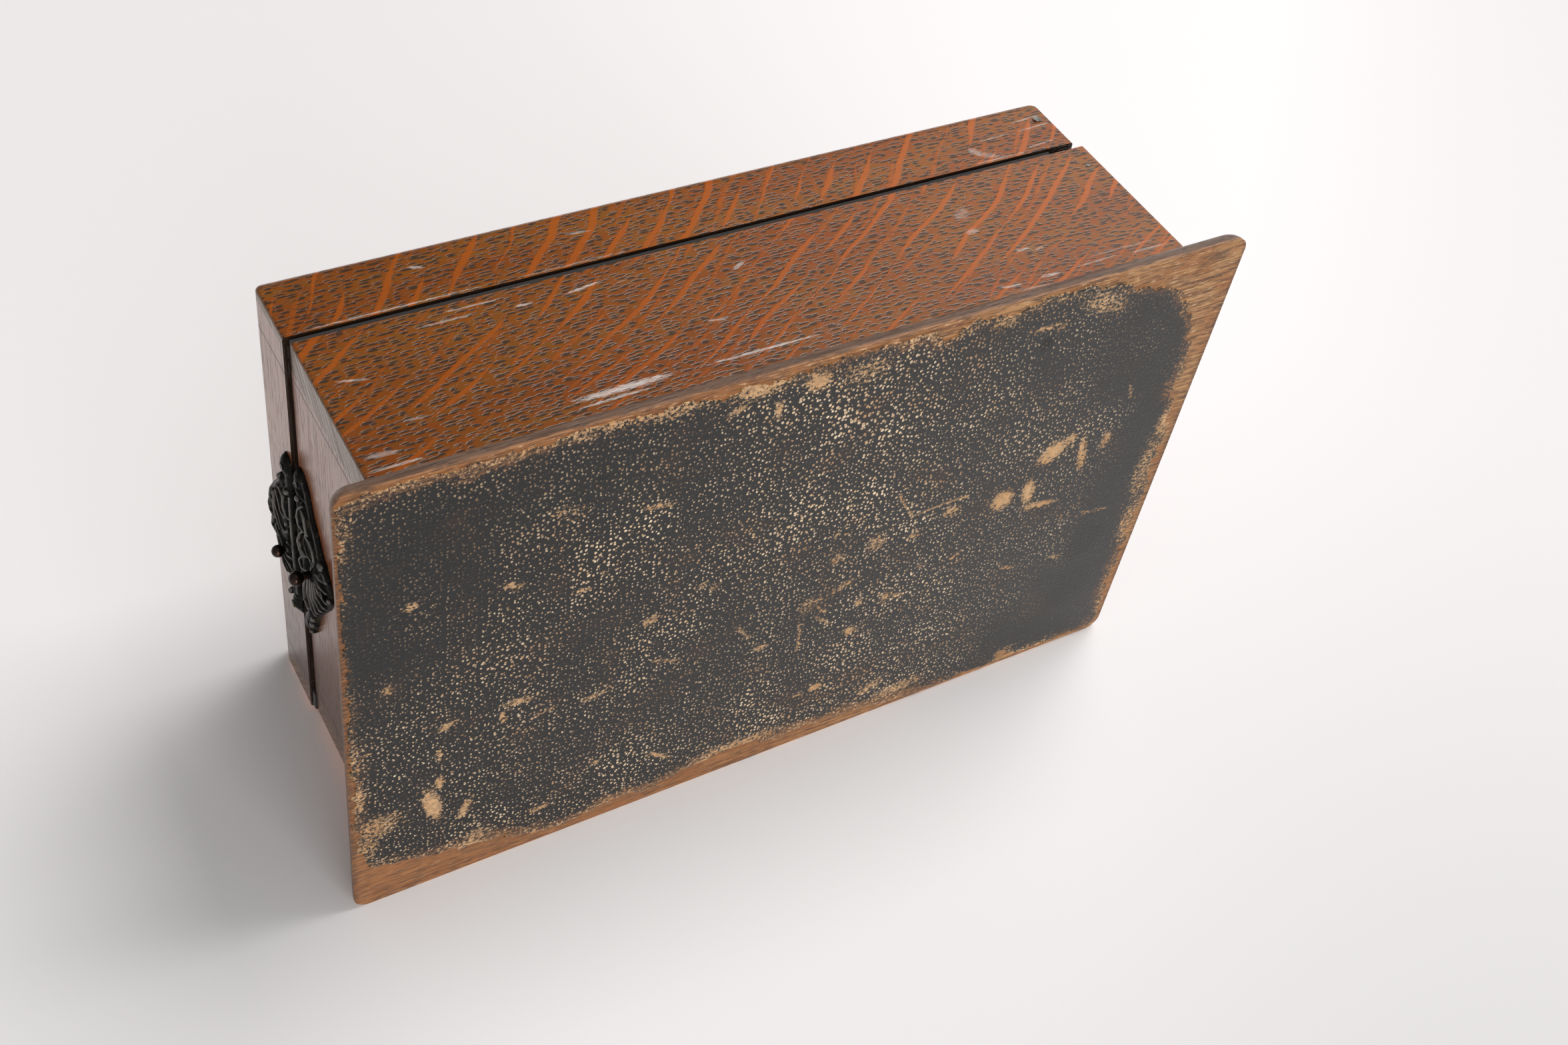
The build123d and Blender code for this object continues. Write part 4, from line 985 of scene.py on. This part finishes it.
floor_mesh = bpy.data.meshes.new("floor")
half = 4.0  # metres
floor_mesh.from_pydata(
    [CONTACT + BACK * a * half + RIGHT * b * half for a, b in ((-1, -1), (-1, 1), (1, 1), (1, -1))],
    [], [(0, 1, 2, 3)],
)
floor_mesh.update()
if floor_mesh.polygons[0].normal.dot(UP) < 0:
    floor_mesh.flip_normals()
floor = bpy.data.objects.new("floor", floor_mesh)
bpy.context.collection.objects.link(floor)
g = Graph("floor_paper")
paper = g.new("ShaderNodeBsdfPrincipled")
# Painted light: the paper darkens to the right and grows lighter to the back, standing in for the lamps'
# falloff across the floor.
spot = []
for axis in (RIGHT, BACK):
    dot = g.new("ShaderNodeVectorMath", operation="DOT_PRODUCT")
    g.put(g.mm, dot.inputs[0])
    dot.inputs[1].default_value = axis
    spot.append(dot.outputs["Value"])
painted_light_falloff = g.mul(g.step(spot[0], -60.0, 270.0, 1.0, 0.78), g.step(spot[1], -160.0, 260.0, 0.96, 1.15))
g.put(g.mix(painted_light_falloff, (0.0, 0.0, 0.0, 1.0), (0.80, 0.785, 0.785, 1.0)), paper.inputs["Base Color"])
paper.inputs["Roughness"].default_value = 0.7
paper.inputs["Specular IOR Level"].default_value = 0.2
clear = g.new("ShaderNodeBsdfTransparent")
geo = g.new("ShaderNodeNewGeometry")
path = g.new("ShaderNodeLightPath")
hide = g.mx(geo.outputs["Backfacing"], path.outputs["Is Shadow Ray"])
choose = g.new("ShaderNodeMixShader")
g.put(hide, choose.inputs[0])
g.tree.links.new(paper.outputs[0], choose.inputs[1])
g.tree.links.new(clear.outputs[0], choose.inputs[2])
g.tree.links.new(choose.outputs[0], g.out.inputs[0])
floor_mesh.materials.append(g.mat)


def area(name, offset, size, energy, color, spread=180.0):
    """A lamp aimed at the box. Its offset is (back, right, up) in metres."""
    light = bpy.data.lights.new(name, "AREA")
    light.shape = "RECTANGLE"
    light.size, light.size_y = size
    light.energy = energy
    light.color = color
    light.spread = math.radians(spread)
    obj = bpy.data.objects.new(name, light)
    bpy.context.collection.objects.link(obj)
    place(obj, MIDDLE + BACK * offset[0] + RIGHT * offset[1] + UP * offset[2], MIDDLE)


area("key", (0.60, 0.28, 1.34), (0.7, 0.7), 15.6, (1.0, 0.985, 0.975))
area("front_fill", (-1.2, 1.0, 0.5), (1.2, 0.6), 12.0, (0.98, 0.99, 1.0))
area("under_fill", (0.0, 0.0, -0.6), (0.3, 0.3), 0.8, (1, 1, 1), spread=50.0)

# The room: dim in front, black behind on the left and a bright wall behind on the right.
world = bpy.data.worlds.new("studio")
bpy.context.scene.world = world
world.use_nodes = True
room = world.node_tree
ray = room.nodes.new("ShaderNodeTexCoord").outputs["Generated"]


def facing(direction):
    dot = room.nodes.new("ShaderNodeVectorMath")
    dot.operation = "DOT_PRODUCT"
    room.links.new(ray, dot.inputs[0])
    dot.inputs[1].default_value = direction
    return dot.outputs["Value"]


def ramp(value, lo, hi, to_lo, to_hi):
    n = room.nodes.new("ShaderNodeMapRange")
    n.interpolation_type = "SMOOTHSTEP"
    room.links.new(value, n.inputs[0])
    for i, v in enumerate((lo, hi)):
        n.inputs[i + 1].default_value = v
    for i, v in enumerate((to_lo, to_hi)):
        if isinstance(v, bpy.types.NodeSocket):
            room.links.new(v, n.inputs[i + 3])
        else:
            n.inputs[i + 3].default_value = v
    return n.outputs[0]


sideways = ramp(facing(RIGHT), -0.30, 0.10, 0.0, 1.10)
behind = ramp(facing(BACK), 0.20, 0.50, ramp(facing(RIGHT), -0.9, 0.1, 0.33, 0.52), sideways)
room.links.new(behind, room.nodes["Background"].inputs[1])
room.nodes["Background"].inputs[0].default_value = (1.0, 0.995, 0.99, 1.0)

SENSOR_MM, LENS_MM = 36.0, 43.31
CAMERA_AT = (0.37141, -0.20907, -0.25978)
cam_data = bpy.data.cameras.new("camera")
cam_data.sensor_width = SENSOR_MM
cam_data.lens = LENS_MM
cam_data.clip_start = 0.01
cam = bpy.data.objects.new("camera", cam_data)
bpy.context.collection.objects.link(cam)
side = Vector((0.13335551, 0.86221876, -0.48866668))
down = Vector((-0.67469296, -0.28218943, -0.68202532))
ahead = Vector((-0.7259516, 0.4206518, 0.54410141))
turn = Matrix((side, -down, -ahead)).transposed().to_4x4()
cam.matrix_world = Matrix.Translation(CAMERA_AT) @ turn
bpy.context.scene.camera = cam

view = bpy.context.scene.view_settings
view.view_transform = "Standard"
view.look = "None"
view.exposure = 0.0
